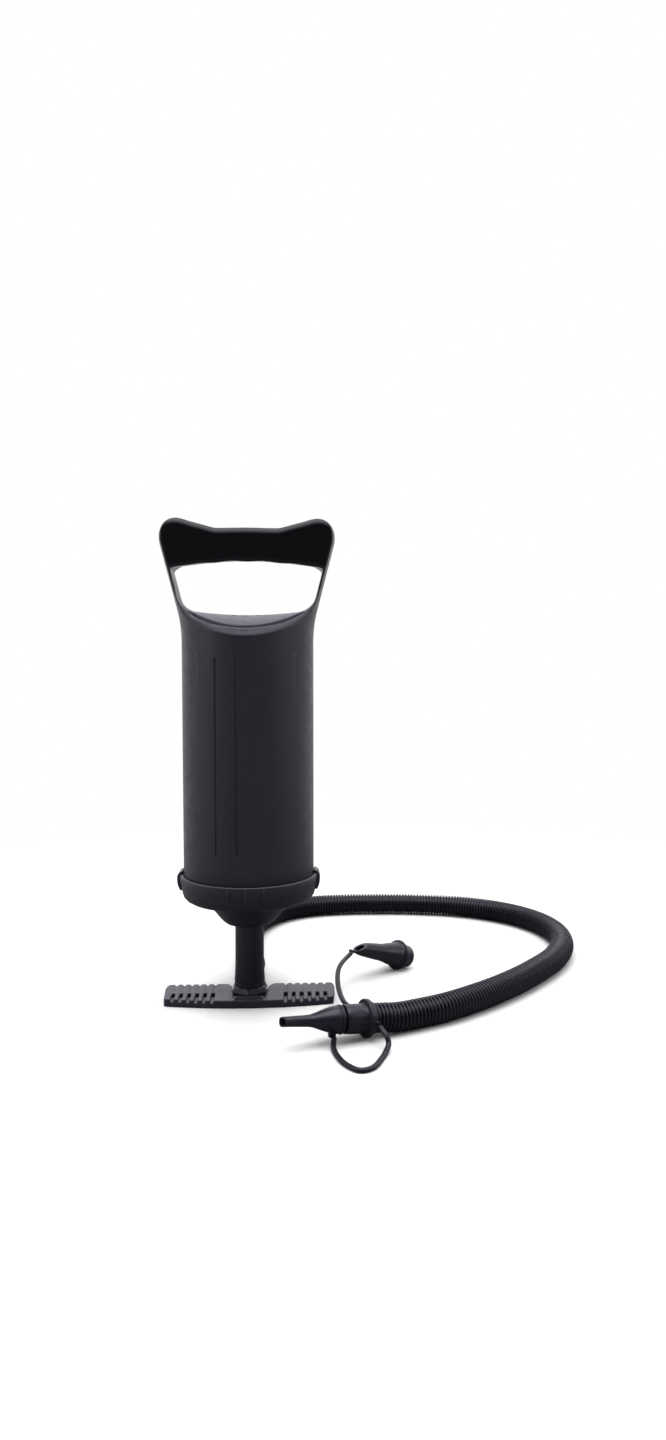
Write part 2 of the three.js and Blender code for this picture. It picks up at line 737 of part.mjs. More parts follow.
const cuffStart = 19.5;
const cuffEnd = 46;
const hoseFloor = hoseRadius + 0.05;
const hoseRoute = [
  ...[
    [0, cuffEnd + 0.8], [-0.2, 52], [-1.8, 62], [-4.2, 85], [-5.4, 110], [-5.4, 132], [-3.4, 158], [5.5, 185],
    [23, 210], [49.5, 227], [82, 234], [122, 235], [160, 232], [205, 221], [243, 198], [268, 166],
    [278, 130], [274, 93], [256, 55], [226, 18], [199, -9], [171.5, -31.5], [143.5, -50.5],
    [126, -59],
  ].map(([x, y]) => [x, y, hoseFloor]),
  ...[-23, -12, hoseStart].map((along) => {
    const place = flangePlace.clone().addScaledVector(nozzleAxis, along);
    return [place.x, place.y, Math.max(place.z, hoseFloor)];
  }),
];
const cuffPiece = alongY(
  revolve([
    [spigotRadius + 0.5 + gap, cuffStart],
    [cuffRadius, cuffStart],
    [cuffRadius, cuffEnd],
    [spigotRadius + 0.5 + gap, cuffEnd],
    [spigotRadius + 0.5 + gap, cuffStart],
  ]),
).translate(0, 0, outletHeight);

// Lengths on the connector and the nozzle run from the connector's front edge towards the tip.
// In these pieces +X faces the front and +Y is up.
const plugRadius = 7.4;
const bodyRadius = 10;
const flangeBack = -19.4;
const flangeThickness = 3.7;
const collarRadius = bodyRadius - 0.8;
const collarEnd = flangeBack - 2.6;
const connector = () =>
  revolve([
    [plugRadius + gap, 0],
    [bodyRadius - 0.2, 0],
    [bodyRadius + 0.1, flangeBack + flangeThickness],
    [flangeRadius - 0.4, flangeBack + flangeThickness],
    [flangeRadius, flangeBack + flangeThickness - 0.6],
    [flangeRadius, flangeBack + 0.5],
    [flangeRadius - 0.5, flangeBack],
    [collarRadius, flangeBack],
    [collarRadius, collarEnd],
    [plugRadius + gap, collarEnd],
    [plugRadius + gap, 0],
  ]);

const nozzleBore = 2.3;
const nozzlePlug = 15;
const nozzleTip = 46;
const nozzleShoulder = 1.8; // gap between the connector and the nozzle's ring
const lugPlace = 7.2; // where the strap grows from the nozzle
function nozzle() {
  const body = revolve([
    [plugRadius - 2.2, -nozzlePlug],
    [plugRadius, -nozzlePlug],
    [plugRadius, nozzleShoulder],
    [bodyRadius - 0.5, nozzleShoulder],
    [bodyRadius - 0.1, nozzleShoulder + 0.5],
    [bodyRadius - 0.1, nozzleShoulder + 1.6],
    [9.5, nozzleShoulder + 2],
    [9.3, 5.4],
    [8.9, 8.4],
    [8.2, 11.4],
    [7.3, 14.4],
    [6.3, 17.3],
    [5.3, 20.3],
    [4.4, 23.2],
    [3.9, 25.6],
    [3.6, 35],
    [3.25, nozzleTip - 2],
    [2.8, nozzleTip],
    [nozzleBore, nozzleTip],
    [nozzleBore, 24],
    [plugRadius - 2.2, 10],
    [plugRadius - 2.2, -nozzlePlug],
  ], 20);
  // The tip is cut at a slant that faces the front.
  const slant = box(0, 12, -6, 6, -12, 12).rotateY(degrees(-45)).translate(-0.6, 0, nozzleTip);
  const lug = box(-2, 2.4, -12.2, -6, lugPlace - 2.4, lugPlace + 2.4);
  return union(cut(body, slant), lug);
}

const ringPlace = flangeBack - gap - 1.1; // middle of the ring that holds both straps
function strapRing() {
  const low = ringPlace - 1.1;
  const high = ringPlace + 1.1;
  const outside = bodyRadius + 1.2;
  const band = ring(collarRadius + gap, outside, low, high);
  const nozzleStrapLug = box(outside - 1, outside + 1.6, -2, 2, low, high);
  const adapterStrapLug = box(-outside - 1.6, 1 - outside, -2, 2, low, high);
  return union(band, nozzleStrapLug, adapterStrapLug);
}

const nozzleStrapRoute = [
  [61.6, -88.7, 5.3], [60.9, -92.3, 3.2], [60.9, -97.4, 2], [63.1, -109.2, 1.8], [67.9, -121.4, 1.8],
  [75, -129.3, 1.8], [78.8, -129.7, 1.8], [84.8, -126.3, 1.8], [91.3, -114.3, 1.9], [95.4, -104.5, 2.4],
  [97.8, -98.2, 4.8], [96.9, -96, 8.8], [94.6, -92.4, 11.3], [93, -89.2, 12.5],
];
const adapterStrapRoute = [
  [82.1, -60.7, 13.1], [78.4, -55.4, 12.4], [75, -50.8, 12.1], [71.8, -45.6, 12.4], [69.6, -38, 13.5],
  [68, -26, 15.5], [67.6, -13, 18.3], [68.8, 0, 21.2], [71.2, 9, 22.8], [74.6, 17.8, 23.6],
  [77.8, 24.4, 24.2], [80.7, 29.8, 25.1],
];

// The wide adapter rests on its flange, and the strap holds its tip up. Lengths run from its tip to
// its plug, and +Y is up.
const adapterFlangeRadius = 12.5;
const adapterFlangePlace = 47;
const adapterFlangeThickness = 2.4;
const adapterPlugEnd = 60.6;
function wideAdapter() {
  const face = adapterFlangePlace;
  const body = revolve([
    [2.6, 0],
    [4.1, 0],
    [5, 3],
    [5.4, 6.5],
    [5.9, 11],
    [6.4, 17],
    [6.8, 23],
    [7.2, 28.5],
    [7.9, 32],
    [8.7, 36.5],
    [9.5, 41.5],
    [10.3, face],
    [adapterFlangeRadius, face],
    [adapterFlangeRadius, face + adapterFlangeThickness],
    [9.1, face + adapterFlangeThickness],
    [9.1, adapterPlugEnd - 1.4],
    [8.2, adapterPlugEnd],
    [6.6, adapterPlugEnd],
    [6.6, face - 3],
    [5.4, 26],
    [3.9, 10],
    [3, 3],
    [2.6, 0],
  ], 20);
  // The mouth is cut at a slant that faces up.
  const mouth = box(-9, 9, 0, 14, -16, 14).rotateX(degrees(-40)).translate(0, -0.8, 0);
  const lug = box(-2, 2, -3.8, -1.8, -4.6, 5);
  return union(cut(body, mouth), lug);
}

const hosePieces = group(
  piece("hose_cuff", cuffPiece, nozzleBlack),
  piece("hose_tube", tube(hoseRoute, hoseRadius, 8, 54), hoseBlack),
  piece("nozzle_strap", tube(nozzleStrapRoute, strapRadius, 8, 28), nozzleBlack),
  piece("adapter_strap", tube(adapterStrapRoute, strapRadius, 8, 32), nozzleBlack),
);

// The connector, the strap ring and the nozzle share one axis.
const hoseEnd = lay(
  group(
    piece("hose_connector", connector(), nozzleBlack),
    piece("strap_ring", strapRing(), nozzleBlack),
    piece("nozzle", nozzle(), nozzleBlack),
  ),
  flangePlace.clone().addScaledVector(nozzleAxis, -flangeBack),
  nozzleAxis,
);

// The rear edge of the adapter's flange stands on the floor.
const adapterSlope = 17.9;
const adapterAxis = aimed(37.4, adapterSlope).negate();
const adapterRise =
  (adapterFlangePlace + adapterFlangeThickness) * Math.sin(degrees(adapterSlope)) +
  adapterFlangeRadius * Math.cos(degrees(adapterSlope));
const adapterTip = new THREE.Vector3(85.8, 34.6, adapterRise + 0.05);
const adapter = lay(group(piece("wide_adapter", wideAdapter(), nozzleBlack)), adapterTip, adapterAxis);

const pump = new THREE.Group();
pump.add(basePieces, rodWiper, barrelPieces, hosePieces, hoseEnd, adapter);
export default pump;
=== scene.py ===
# %% [markdown]
# # A double-action hand air pump in Blender
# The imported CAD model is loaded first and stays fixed. Every piece made here is drawn in the
# same frame: metres in Blender, but the numbers in the script are millimetres, because that is
# how a moulder's drawing gives them. The rod stands on the origin and the front faces -Y.

# %% Load the frame
import json
import math
import bmesh
import bpy
from mathutils import Matrix, Vector


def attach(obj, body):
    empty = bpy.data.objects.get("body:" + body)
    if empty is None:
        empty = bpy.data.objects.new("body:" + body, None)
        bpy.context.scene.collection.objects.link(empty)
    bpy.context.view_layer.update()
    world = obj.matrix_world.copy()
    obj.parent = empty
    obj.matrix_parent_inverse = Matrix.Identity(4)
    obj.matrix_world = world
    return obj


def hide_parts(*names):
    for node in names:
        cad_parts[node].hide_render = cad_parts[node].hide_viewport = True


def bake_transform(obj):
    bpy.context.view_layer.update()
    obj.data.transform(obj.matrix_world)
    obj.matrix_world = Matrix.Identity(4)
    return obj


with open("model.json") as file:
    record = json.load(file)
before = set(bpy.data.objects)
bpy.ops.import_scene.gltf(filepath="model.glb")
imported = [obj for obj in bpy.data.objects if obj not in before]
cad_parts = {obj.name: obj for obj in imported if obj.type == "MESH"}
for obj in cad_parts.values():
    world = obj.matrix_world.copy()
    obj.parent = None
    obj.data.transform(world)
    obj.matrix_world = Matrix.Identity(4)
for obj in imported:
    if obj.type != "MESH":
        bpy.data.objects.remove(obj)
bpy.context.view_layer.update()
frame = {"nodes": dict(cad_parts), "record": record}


# %% [markdown]
# The camera comes first, because the hose has to lie inside its view. It stands a little above
# the middle of the pump and looks very slightly down, with a wide lens for its distance, so the
# foot plate is seen from above and the handle almost level.

# %% Camera
def mm(*values):
    """Millimetres as a vector in metres."""
    return Vector(values) / 1000


lens = bpy.data.cameras.new("product_camera")
lens.lens = 22
lens.sensor_width = 36
camera = bpy.data.objects.new("product_camera", lens)
camera.location = mm(35.3, -673.1, 255.7)
camera.rotation_euler = (math.radians(86.7), 0, math.radians(-2.5))
bpy.context.scene.collection.objects.link(camera)
bpy.context.scene.camera = camera
bpy.context.scene.view_settings.view_transform = "Standard"
print("camera", [round(v, 4) for v in camera.location])


# %% [markdown]
# Colours are written as the hex values a designer would give and turned to Blender's linear
# values by one function. A second function adds a shader node with its settings and links.

# %% Colour and node helpers
def colour(hex_value):
    """An sRGB hex string as a linear RGBA colour."""
    parts = [int(hex_value[i : i + 2], 16) / 255 for i in (1, 3, 5)]
    linear = [c / 12.92 if c <= 0.04045 else ((c + 0.055) / 1.055) ** 2.4 for c in parts]
    return (*linear, 1)


def add_node(tree, kind, settings=None, sockets=None):
    """Adds a node. Settings are its properties. Sockets hold a value or another node's output."""
    node = tree.nodes.new(kind)
    for name, value in (settings or {}).items():
        setattr(node, name, value)
    for name, value in (sockets or {}).items():
        if isinstance(value, bpy.types.NodeSocket):
            tree.links.new(value, node.inputs[name])
        else:
            node.inputs[name].default_value = value
    return node


def new_material(name, **shader):
    """A material with one Principled shader and Object coordinates to paint from."""
    material = bpy.data.materials.new(name)
    material.use_nodes = True
    tree = material.node_tree
    principled = tree.nodes["Principled BSDF"]
    for socket, value in shader.items():
        principled.inputs[socket.replace("_", " ")].default_value = value
    coordinates = add_node(tree, "ShaderNodeTexCoord").outputs["Object"]
    return material, tree, principled, coordinates


def noise(tree, vector, size_mm, detail=3, roughness=0.5):
    """Noise whose blotches are about size_mm across."""
    return add_node(
        tree,
        "ShaderNodeTexNoise",
        sockets={"Vector": vector, "Scale": 1000 / size_mm, "Detail": detail, "Roughness": roughness},
    ).outputs["Fac"]


def spread(tree, value, low, high, from_low=0.3, from_high=0.7):
    """A pattern's value moved to the range from low to high."""
    return add_node(
        tree,
        "ShaderNodeMapRange",
        sockets={"Value": value, "From Min": from_low, "From Max": from_high, "To Min": low, "To Max": high},
    ).outputs["Result"]


def blend_colours(tree, share, first, second):
    """A mix of two colours by share, 0 to 1."""
    node = add_node(tree, "ShaderNodeMix", {"data_type": "RGBA"})
    for index, value in ((0, share), (6, first), (7, second)):
        if isinstance(value, bpy.types.NodeSocket):
            tree.links.new(value, node.inputs[index])
        else:
            node.inputs[index].default_value = value
    return node.outputs[2]


# %% [markdown]
# The large mouldings are polypropylene, charged with carbon black and moulded against a tool
# with a fine spark texture. That gives the eye a soft, even charcoal with a broad highlight.
# The tool has a polish around the grip, so the handle is smoother; its near-black colour is painted shade
# for the dark surroundings its front reflects. Level faces such as the deck are painted paler, a painted
# highlight for the overhead light they catch. The spark texture is about 0.1 mm, too fine to show here,
# so it is drawn 0.7 mm coarse and shallow. Handling leaves the edges a little lighter: pointiness picks them
# out on the dense meshes.

# %% Spark-textured polypropylene for the housing
def moulded_plastic(name, body, deep, roughness, grain_mm, grain_depth, edge_wear_and_highlight=None):
    """Plastic or rubber in two close tones, with a grain grain_depth mm deep and paler edges: wear on the
    housing, foot and nozzle, a painted highlight on the hose's rib crests.
    """
    material, tree, shader, place = new_material(
        name, Roughness=roughness, IOR=1.49, Specular_Tint=colour("#e4e2f4")
    )
    flow = noise(tree, place, 45, 2)
    tone = blend_colours(tree, spread(tree, flow, 0, 1), colour(body), colour(deep))
    if edge_wear_and_highlight:
        point = add_node(tree, "ShaderNodeNewGeometry").outputs["Pointiness"]
        edge = spread(tree, point, 0, 0.55, 0.53, 0.62)
        tone = blend_colours(tree, edge, tone, colour(edge_wear_and_highlight))
    tree.links.new(tone, shader.inputs["Base Color"])
    rub = noise(tree, place, 9, 4, 0.6)
    tree.links.new(spread(tree, rub, roughness - 0.05, roughness + 0.06), shader.inputs["Roughness"])
    grain = noise(tree, place, grain_mm, 2, 0.6)
    bump = add_node(
        tree,
        "ShaderNodeBump",
        sockets={"Height": grain, "Strength": 0.35, "Distance": grain_depth / 1000},
    )
    tree.links.new(bump.outputs["Normal"], shader.inputs["Normal"])
    return material


foot_plastic = moulded_plastic(
    "polypropylene_spark_textured_foot", "#34333d", "#2e2d37", 0.38, 0.7, 0.05, "#4b4a57"
)
stem_plastic = moulded_plastic(
    "polypropylene_moulded_black_stem", "#15141b", "#121117", 0.42, 0.9, 0.02
)
print("moulded plastics ready")


# %% Two finishes on one moulding: textured barrel and smoother grip, with painted shade on the grip and a painted highlight on level tops
grip_polish_and_shade_start = 0.304
grip_polish_and_shade_full = 0.334


def barrel_plastic(name, specular):
    """Spark-textured plastic that turns smoother up along the posts, with the grip painted near-black as
    painted shade and upward faces given a painted highlight.
    """
    material = moulded_plastic(name, "#27262d", "#222128", 0.46, 0.7, 0.05, "#3b3a44")
    tree = material.node_tree
    shader = tree.nodes["Principled BSDF"]
    shader.inputs["Specular IOR Level"].default_value = specular
    place = [n for n in tree.nodes if n.bl_idname == "ShaderNodeTexCoord"][0].outputs["Object"]
    height = add_node(tree, "ShaderNodeSeparateXYZ", sockets={"Vector": place}).outputs["Z"]
    # This height mask drives both the grip's smoother finish and its painted shade.
    polish_and_painted_shade = spread(tree, height, 0, 1, grip_polish_and_shade_start, grip_polish_and_shade_full)
    textured = shader.inputs["Base Color"].links[0].from_socket
    facing = add_node(tree, "ShaderNodeNewGeometry").outputs["Normal"]
    upward = add_node(tree, "ShaderNodeSeparateXYZ", sockets={"Vector": facing}).outputs["Z"]
    # Faces that look up are painted paler: a painted highlight for the overhead light on the deck and other
    # level tops.
    painted_top_highlight = spread(tree, upward, 0, 0.8, 0.8, 0.97)
    top_highlighted_colour = blend_colours(tree, painted_top_highlight, textured, colour("#62606c"))
    # The grip's near-black is painted shade for the dark surroundings its front reflects; only its smoother
    # finish is real.
    tone = blend_colours(tree, polish_and_painted_shade, top_highlighted_colour, colour("#09090c"))
    tree.links.new(tone, shader.inputs["Base Color"])
    matt = shader.inputs["Roughness"].links[0].from_socket
    finish = add_node(
        tree, "ShaderNodeMix", {"data_type": "FLOAT"}, {"Factor": polish_and_painted_shade, "A": matt, "B": 0.36}
    )
    tree.links.new(finish.outputs[0], shader.inputs["Roughness"])
    return material


housing_plastic = barrel_plastic("polypropylene_spark_textured_barrel", 0.36)
grip_plastic = barrel_plastic("polypropylene_polished_grip", 0.2)
print("housing and grip plastic ready")


# %% [markdown]
# The hose is extruded and blow-formed polyethylene: waxy, nearly black, with a soft sheen that
# runs along it in a broken line, because every rib catches the light by itself, helped by a
# painted highlight on the rib crests. The nozzles are low-density polyethylene, a little bluish and slightly
# translucent at thin edges.

# %% Hose, nozzle, rubber, acetal and steel
# The paler colour on the rib crests is a painted highlight, standing in for the light each rib catches.
hose_plastic = moulded_plastic(
    "polyethylene_corrugated_hose", "#13121a", "#0f0e15", 0.3, 3.0, 0.04, "#2b2a38"
)
nozzle_plastic = moulded_plastic(
    "polyethylene_soft_moulded_nozzle", "#1c1b24", "#17161f", 0.36, 1.2, 0.03, "#343342"
)
strap_plastic = moulded_plastic(
    "polyethylene_soft_moulded_strap", "#14131b", "#100f16", 0.42, 1.2, 0.03
)
rubber = moulded_plastic("rubber_moulded_seal", "#161617", "#101011", 0.78, 0.8, 0.06)
acetal = moulded_plastic("acetal_moulded_natural", "#c3c5c1", "#b4b6b2", 0.42, 1.0, 0.02)


def plated_steel():
    """Zinc plating with a fine bloom."""
    material, tree, shader, place = new_material("steel_zinc_plated_screw", Metallic=1.0, Roughness=0.32)
    bloom = noise(tree, place, 1.6, 4)
    tone = blend_colours(tree, spread(tree, bloom, 0, 1), colour("#b9bcc0"), colour("#94979c"))
    tree.links.new(tone, shader.inputs["Base Color"])
    tree.links.new(spread(tree, bloom, 0.26, 0.42), shader.inputs["Roughness"])
    return material


steel = plated_steel()
finish_of_slot = {
    "housing_plastic": housing_plastic,
    "foot_plastic": foot_plastic,
    "stem_plastic": stem_plastic,
    "inner_plastic": acetal,
    "seal_rubber": rubber,
    "hose_plastic": hose_plastic,
    "nozzle_plastic": nozzle_plastic,
    "screw_steel": steel,
}
slot_of_node = {row["node"]: row["material_slot"] for row in frame["record"]["subparts"]}
for node_name, node in frame["nodes"].items():
    node.data.materials.clear()
    node.data.materials.append(finish_of_slot[slot_of_node[node_name]])
print("materials:", len(finish_of_slot), "on", len(slot_of_node), "CAD nodes")


# %% [markdown]
# Three small helpers carry every piece from a bmesh to the scene. Shapes are drawn in
# millimetres and scaled once at the end, so each object sits at the origin with its place in
# its mesh. A finished piece takes its finish from the slot of the CAD node that it replaces.

# %% Mesh helpers
def as_object(shape, name, scale=1.0):
    """A bmesh as a linked object, with its faces turned outwards."""
    bmesh.ops.remove_doubles(shape, verts=shape.verts, dist=1e-4)
    bmesh.ops.recalc_face_normals(shape, faces=shape.faces)
    bmesh.ops.scale(shape, vec=(scale,) * 3, verts=shape.verts)
    mesh = bpy.data.meshes.new(name)
    shape.to_mesh(mesh)
    shape.free()
    made = bpy.data.objects.new(name, mesh)
    bpy.context.scene.collection.objects.link(made)
    return made


def baked(made):
    """The object's mesh with its modifiers applied, as a bmesh. The object is removed."""
    graph = bpy.context.evaluated_depsgraph_get()
    mesh = bpy.data.meshes.new_from_object(made.evaluated_get(graph))
    shape = bmesh.new()
    shape.from_mesh(mesh)
    bpy.data.meshes.remove(mesh)
    bpy.data.objects.remove(made)
    return shape


def piece(shape, name, body, node, crease=40):
    """Turns a bmesh in millimetres into a finished piece that stands for a CAD node."""
    made = as_object(shape, name, 0.001)
    for face in made.data.polygons:
        face.use_smooth = True
    made.data.set_sharp_from_angle(angle=math.radians(crease))
    made.data.materials.append(finish_of_slot[slot_of_node[node]])
    if body:
        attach(made, body)
    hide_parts(node)
    print(name, len(made.data.vertices), "vertices")
    return made


# %% Turning and cutting helpers
def turned(profile, steps=96, closed=True):
    """A profile of (radius, height) points in millimetres, turned about Z."""
    shape = bmesh.new()
    points = [shape.verts.new((r, 0, z)) for r, z in profile]
    pairs = list(zip(points, points[1:]))
    if closed:
        pairs.append((points[-1], points[0]))
    edges = [shape.edges.new(pair) for pair in pairs]
    bmesh.ops.spin(
        shape,
        geom=points + edges,
        cent=(0, 0, 0),
        axis=(0, 0, 1),
        angle=2 * math.pi,
        steps=steps,
        use_merge=True,
    )
    bmesh.ops.remove_doubles(shape, verts=shape.verts, dist=1e-4)
    bmesh.ops.recalc_face_normals(shape, faces=shape.faces)
    return shape


def rounded(shape, width, angle=28):
    """Rounds the edges that turn by more than angle."""
    sharp = [
        e for e in shape.edges
        if len(e.link_faces) == 2 and e.calc_face_angle(0) > math.radians(angle)
    ]
    bmesh.ops.bevel(
        shape,
        geom=sharp,
        offset=width,
        offset_type="OFFSET",
        affect="EDGES",
        segments=3,
        profile=0.5,
        material=-1,
        clamp_overlap=True,
    )
    return shape


def prism(outline, depth, steps=1):
    """A flat outline of 3-D points pushed along depth in even steps."""
    shape = bmesh.new()
    face = shape.faces.new([shape.verts.new(p) for p in outline])
    for _ in range(steps):
        out = bmesh.ops.extrude_face_region(shape, geom=[face])
        verts = [g for g in out["geom"] if isinstance(g, bmesh.types.BMVert)]
        bmesh.ops.translate(shape, vec=Vector(depth) / steps, verts=verts)
        old, face = face, [g for g in out["geom"] if isinstance(g, bmesh.types.BMFace)][0]
        if old.is_valid and len([f for e in old.edges for f in e.link_faces]) > 2 * len(old.edges):
            shape.faces.remove(old)
    bmesh.ops.recalc_face_normals(shape, faces=shape.faces)
    return shape


def block(low, high):
    """A box from corner to corner."""
    shape = bmesh.new()
    size = Vector(high) - Vector(low)
    middle = (Vector(high) + Vector(low)) / 2
    bmesh.ops.create_cube(shape, size=1, matrix=Matrix.Translation(middle) @ Matrix.Diagonal((*size, 1)))
    return shape


def swung(shape, degrees, axis="Z"):
    """Turns a shape about an axis through the origin."""
    turn = Matrix.Rotation(math.radians(degrees), 3, axis)
    bmesh.ops.rotate(shape, cent=(0, 0, 0), matrix=turn, verts=shape.verts)
    return shape


def placed(shape, matrix):
    """Moves a shape by a matrix."""
    bmesh.ops.transform(shape, matrix=matrix, verts=shape.verts)
    return shape


def combined(base, *steps):
    """Booleans in turn: each step is ("UNION" | "DIFFERENCE" | "INTERSECT", bmesh)."""
    main = as_object(base, "work")
    tools = []
    for kind, tool in steps:
        other = as_object(tool, "tool")
        tools.append(other)
        change = main.modifiers.new("cut", "BOOLEAN")
        change.operation = kind
        change.solver = "EXACT"
        change.object = other
    shape = baked(main)
    for other in tools:
        bpy.data.objects.remove(other)
    return shape


def remeshed(shape, voxel, rounds):
    """Even small faces all over, with every edge softened as a moulding's are."""
    made = as_object(shape, "work")
    change = made.modifiers.new("even", "REMESH")
    change.mode = "VOXEL"
    change.voxel_size = voxel
    shape = baked(made)
    for _ in range(rounds):
        bmesh.ops.smooth_vert(
            shape, verts=shape.verts, factor=0.5, use_axis_x=True, use_axis_y=True, use_axis_z=True
        )
    return shape


def joined(*shapes):
    """Several closed shapes in one mesh."""
    total = bmesh.new()
    for shape in shapes:
        mesh = bpy.data.meshes.new("part")
        shape.to_mesh(mesh)
        shape.free()
        total.from_mesh(mesh)
        bpy.data.meshes.remove(mesh)
    return total


def curve_through(points, per_span=8):
    """Even points on a centripetal Catmull-Rom curve through given points."""
    p = [Vector(q) for q in points]
    p = [2 * p[0] - p[1], *p, 2 * p[-1] - p[-2]]
    dense = []
    for a, b, c, d in zip(p, p[1:], p[2:], p[3:]):
        t1 = (b - a).length ** 0.5
        t2 = t1 + (c - b).length ** 0.5
        t3 = t2 + (d - c).length ** 0.5
        for i in range(per_span):
            t = t1 + (t2 - t1) * i / per_span
            a1 = a * ((t1 - t) / t1) + b * (t / t1)
            a2 = b * ((t2 - t) / (t2 - t1)) + c * ((t - t1) / (t2 - t1))
            a3 = c * ((t3 - t) / (t3 - t2)) + d * ((t - t2) / (t3 - t2))
            b1 = a1 * ((t2 - t) / t2) + a2 * (t / t2)
            b2 = a2 * ((t3 - t) / (t3 - t1)) + a3 * ((t - t1) / (t3 - t1))
            dense.append(b1 * ((t2 - t) / (t2 - t1)) + b2 * ((t - t1) / (t2 - t1)))
    dense.append(p[-2])
    return dense


def length_of(points):
    """The length of a line through points."""
    return sum((b - a).length for a, b in zip(points, points[1:]))


print("helpers ready")

# %% [markdown]
# The hose is a corrugated tube about 20 mm across and 0.78 m long, which is its whole length:
# it can be followed from the stem, round the back, to the nozzle. It lies on the floor nearly all
# the way and lifts at the end, where the connector's flange holds it up. The connector's axis
# points left, to the front and slightly up, and the hose comes into it along the same axis.
# One rib is made and repeated along a straight line, and a curve then lays the line down.

# %% The nozzle's axis and the hose's route
def aimed(turn, lift):
    """A unit vector along -X, turned to the front and lifted by the given degrees."""
    turn, lift = math.radians(turn), math.radians(lift)
    return Vector((-math.cos(turn) * math.cos(lift), -math.sin(turn) * math.cos(lift), math.sin(lift)))


def laid(place, axis):
    """The matrix that puts a shape's Z along an axis, its Y as upright as the axis allows."""
    level = Vector((0, 0, 1)).cross(axis).normalized()
    upright = axis.cross(level)
    return Matrix.Translation(place) @ Matrix((level, upright, axis)).transposed().to_4x4()


cuff_end = 46
outlet_height = 9.4
hose_radius = 10.25
hose_rest = hose_radius + 0.05
flange_radius = 13.1
nozzle_axis = aimed(20.6, 6.7)
flange_place = Vector((86.1, -75.3, 13.31))
hose_floor_points = [
    (0, 46.8), (-0.2, 52), (-1.8, 62), (-4.2, 85), (-5.4, 110), (-5.4, 132), (-3.4, 158), (5.5, 185),
    (23, 210), (49.5, 227), (82, 234), (122, 235), (160, 232), (205, 221), (243, 198), (268, 166),
    (278, 130), (274, 93), (256, 55), (226, 18), (199, -9), (171.5, -31.5), (143.5, -50.5),
    (126, -59),
]
hose_end_points = [flange_place + along * nozzle_axis for along in (-23, -12, -2.9)]
hose_route = curve_through([(x, y, hose_rest) for x, y in hose_floor_points] + hose_end_points)
hose_length = length_of(hose_route)
print("hose", round(hose_length, 1), "mm over", len(hose_route), "points")


# %% Lay one repeated rib along the route
def along_route(shape, route, name):
    """Bends a straight shape that starts at x = 0 along a route, and returns it as a bmesh."""
    line = bpy.data.curves.new("route", "CURVE")
    line.dimensions = "3D"
    line.twist_mode = "Z_UP"
    spline = line.splines.new("POLY")
    spline.points.add(len(route) - 1)
    for point, place in zip(spline.points, route):
        point.co = (*place, 1)
    rail = bpy.data.objects.new("route", line)
    bpy.context.scene.collection.objects.link(rail)
    made = as_object(shape, name)
    change = made.modifiers.new("lay", "CURVE")
    change.object = rail
    change.deform_axis = "POS_X"
    laid = baked(made)
    bpy.data.objects.remove(rail)
    return laid


def corrugated(length, pitch, crest, root, sides=28):
    """A straight ribbed tube along X, made of one rib repeated by an Array modifier."""
    rib = bmesh.new()
    outline = [
        (0, root), (0.2, root + 0.1), (0.36, crest - 0.2), (0.46, crest), (0.64, crest),
        (0.74, crest - 0.2), (0.9, root + 0.1), (1, root),
    ]
    turn = Matrix.Rotation(math.pi / 2, 4, "Y")
    start = bmesh.ops.create_circle(rib, segments=sides, radius=root, matrix=turn)["verts"]
    edges = list({e for v in start for e in v.link_edges})
    size = root
    for (share, radius), (before, _) in zip(outline[1:], outline):
        out = bmesh.ops.extrude_edge_only(rib, edges=edges)["geom"]
        verts = [g for g in out if isinstance(g, bmesh.types.BMVert)]
        edges = [g for g in out if isinstance(g, bmesh.types.BMEdge)]
        bmesh.ops.translate(rib, vec=((share - before) * pitch, 0, 0), verts=verts)
        bmesh.ops.scale(rib, vec=(1, radius / size, radius / size), verts=verts)
        size = radius
    made = as_object(rib, "rib")
    row = made.modifiers.new("repeat", "ARRAY")
    row.use_relative_offset = False
    row.use_constant_offset = True
    row.constant_offset_displace = (pitch, 0, 0)
    row.count = round(length / pitch)
    row.use_merge_vertices = True
    row.merge_threshold = 0.01
    tube = baked(made)
    bmesh.ops.scale(tube, vec=(length / (pitch * round(length / pitch)), 1, 1), verts=tube.verts)
    ends = [e for e in tube.edges if e.is_boundary]
    bmesh.ops.contextual_create(tube, geom=[e for e in ends if e.verts[0].co.x < 1])
    bmesh.ops.contextual_create(tube, geom=[e for e in ends if e.verts[0].co.x > 1])
    return tube


rib_pitch = 3.0
rib_depth = 1.9
straight_hose = corrugated(hose_length, rib_pitch, hose_radius, hose_radius - rib_depth)
hose_shape = along_route(straight_hose, hose_route, "hose_tube")
hose = piece(hose_shape, "corrugated_hose", "base", "hose_tube", 60)

# %% [markdown]
# Two moulded straps keep the loose pieces together. One runs from a lug on the nozzle round to
# a ring behind the connector, and lies on the floor in a loop. The other rises from the same
# ring to the wide adapter and is stiff enough to hold the adapter's tip off the floor.

# %% Straps
nozzle_strap_points = [
    (61.6, -88.7, 5.3), (60.9, -92.3, 3.2), (60.9, -97.4, 2), (63.1, -109.2, 1.8), (67.9, -121.4, 1.8),
    (75, -129.3, 1.8), (78.8, -129.7, 1.8), (84.8, -126.3, 1.8), (91.3, -114.3, 1.9), (95.4, -104.5, 2.4),
    (97.8, -98.2, 4.8), (96.9, -96, 8.8), (94.6, -92.4, 11.3), (93, -89.2, 12.5),
]
adapter_strap_points = [
    (82.1, -60.7, 13.1), (78.4, -55.4, 12.4), (75, -50.8, 12.1), (71.8, -45.6, 12.4), (69.6, -38, 13.5),
    (68, -26, 15.5), (67.6, -13, 18.3), (68.8, 0, 21.2), (71.2, 9, 22.8), (74.6, 17.8, 23.6),
    (77.8, 24.4, 24.2), (80.7, 29.8, 25.1),
]


strap_width = 3.8
strap_height = 3.2
strap_step = 1.2


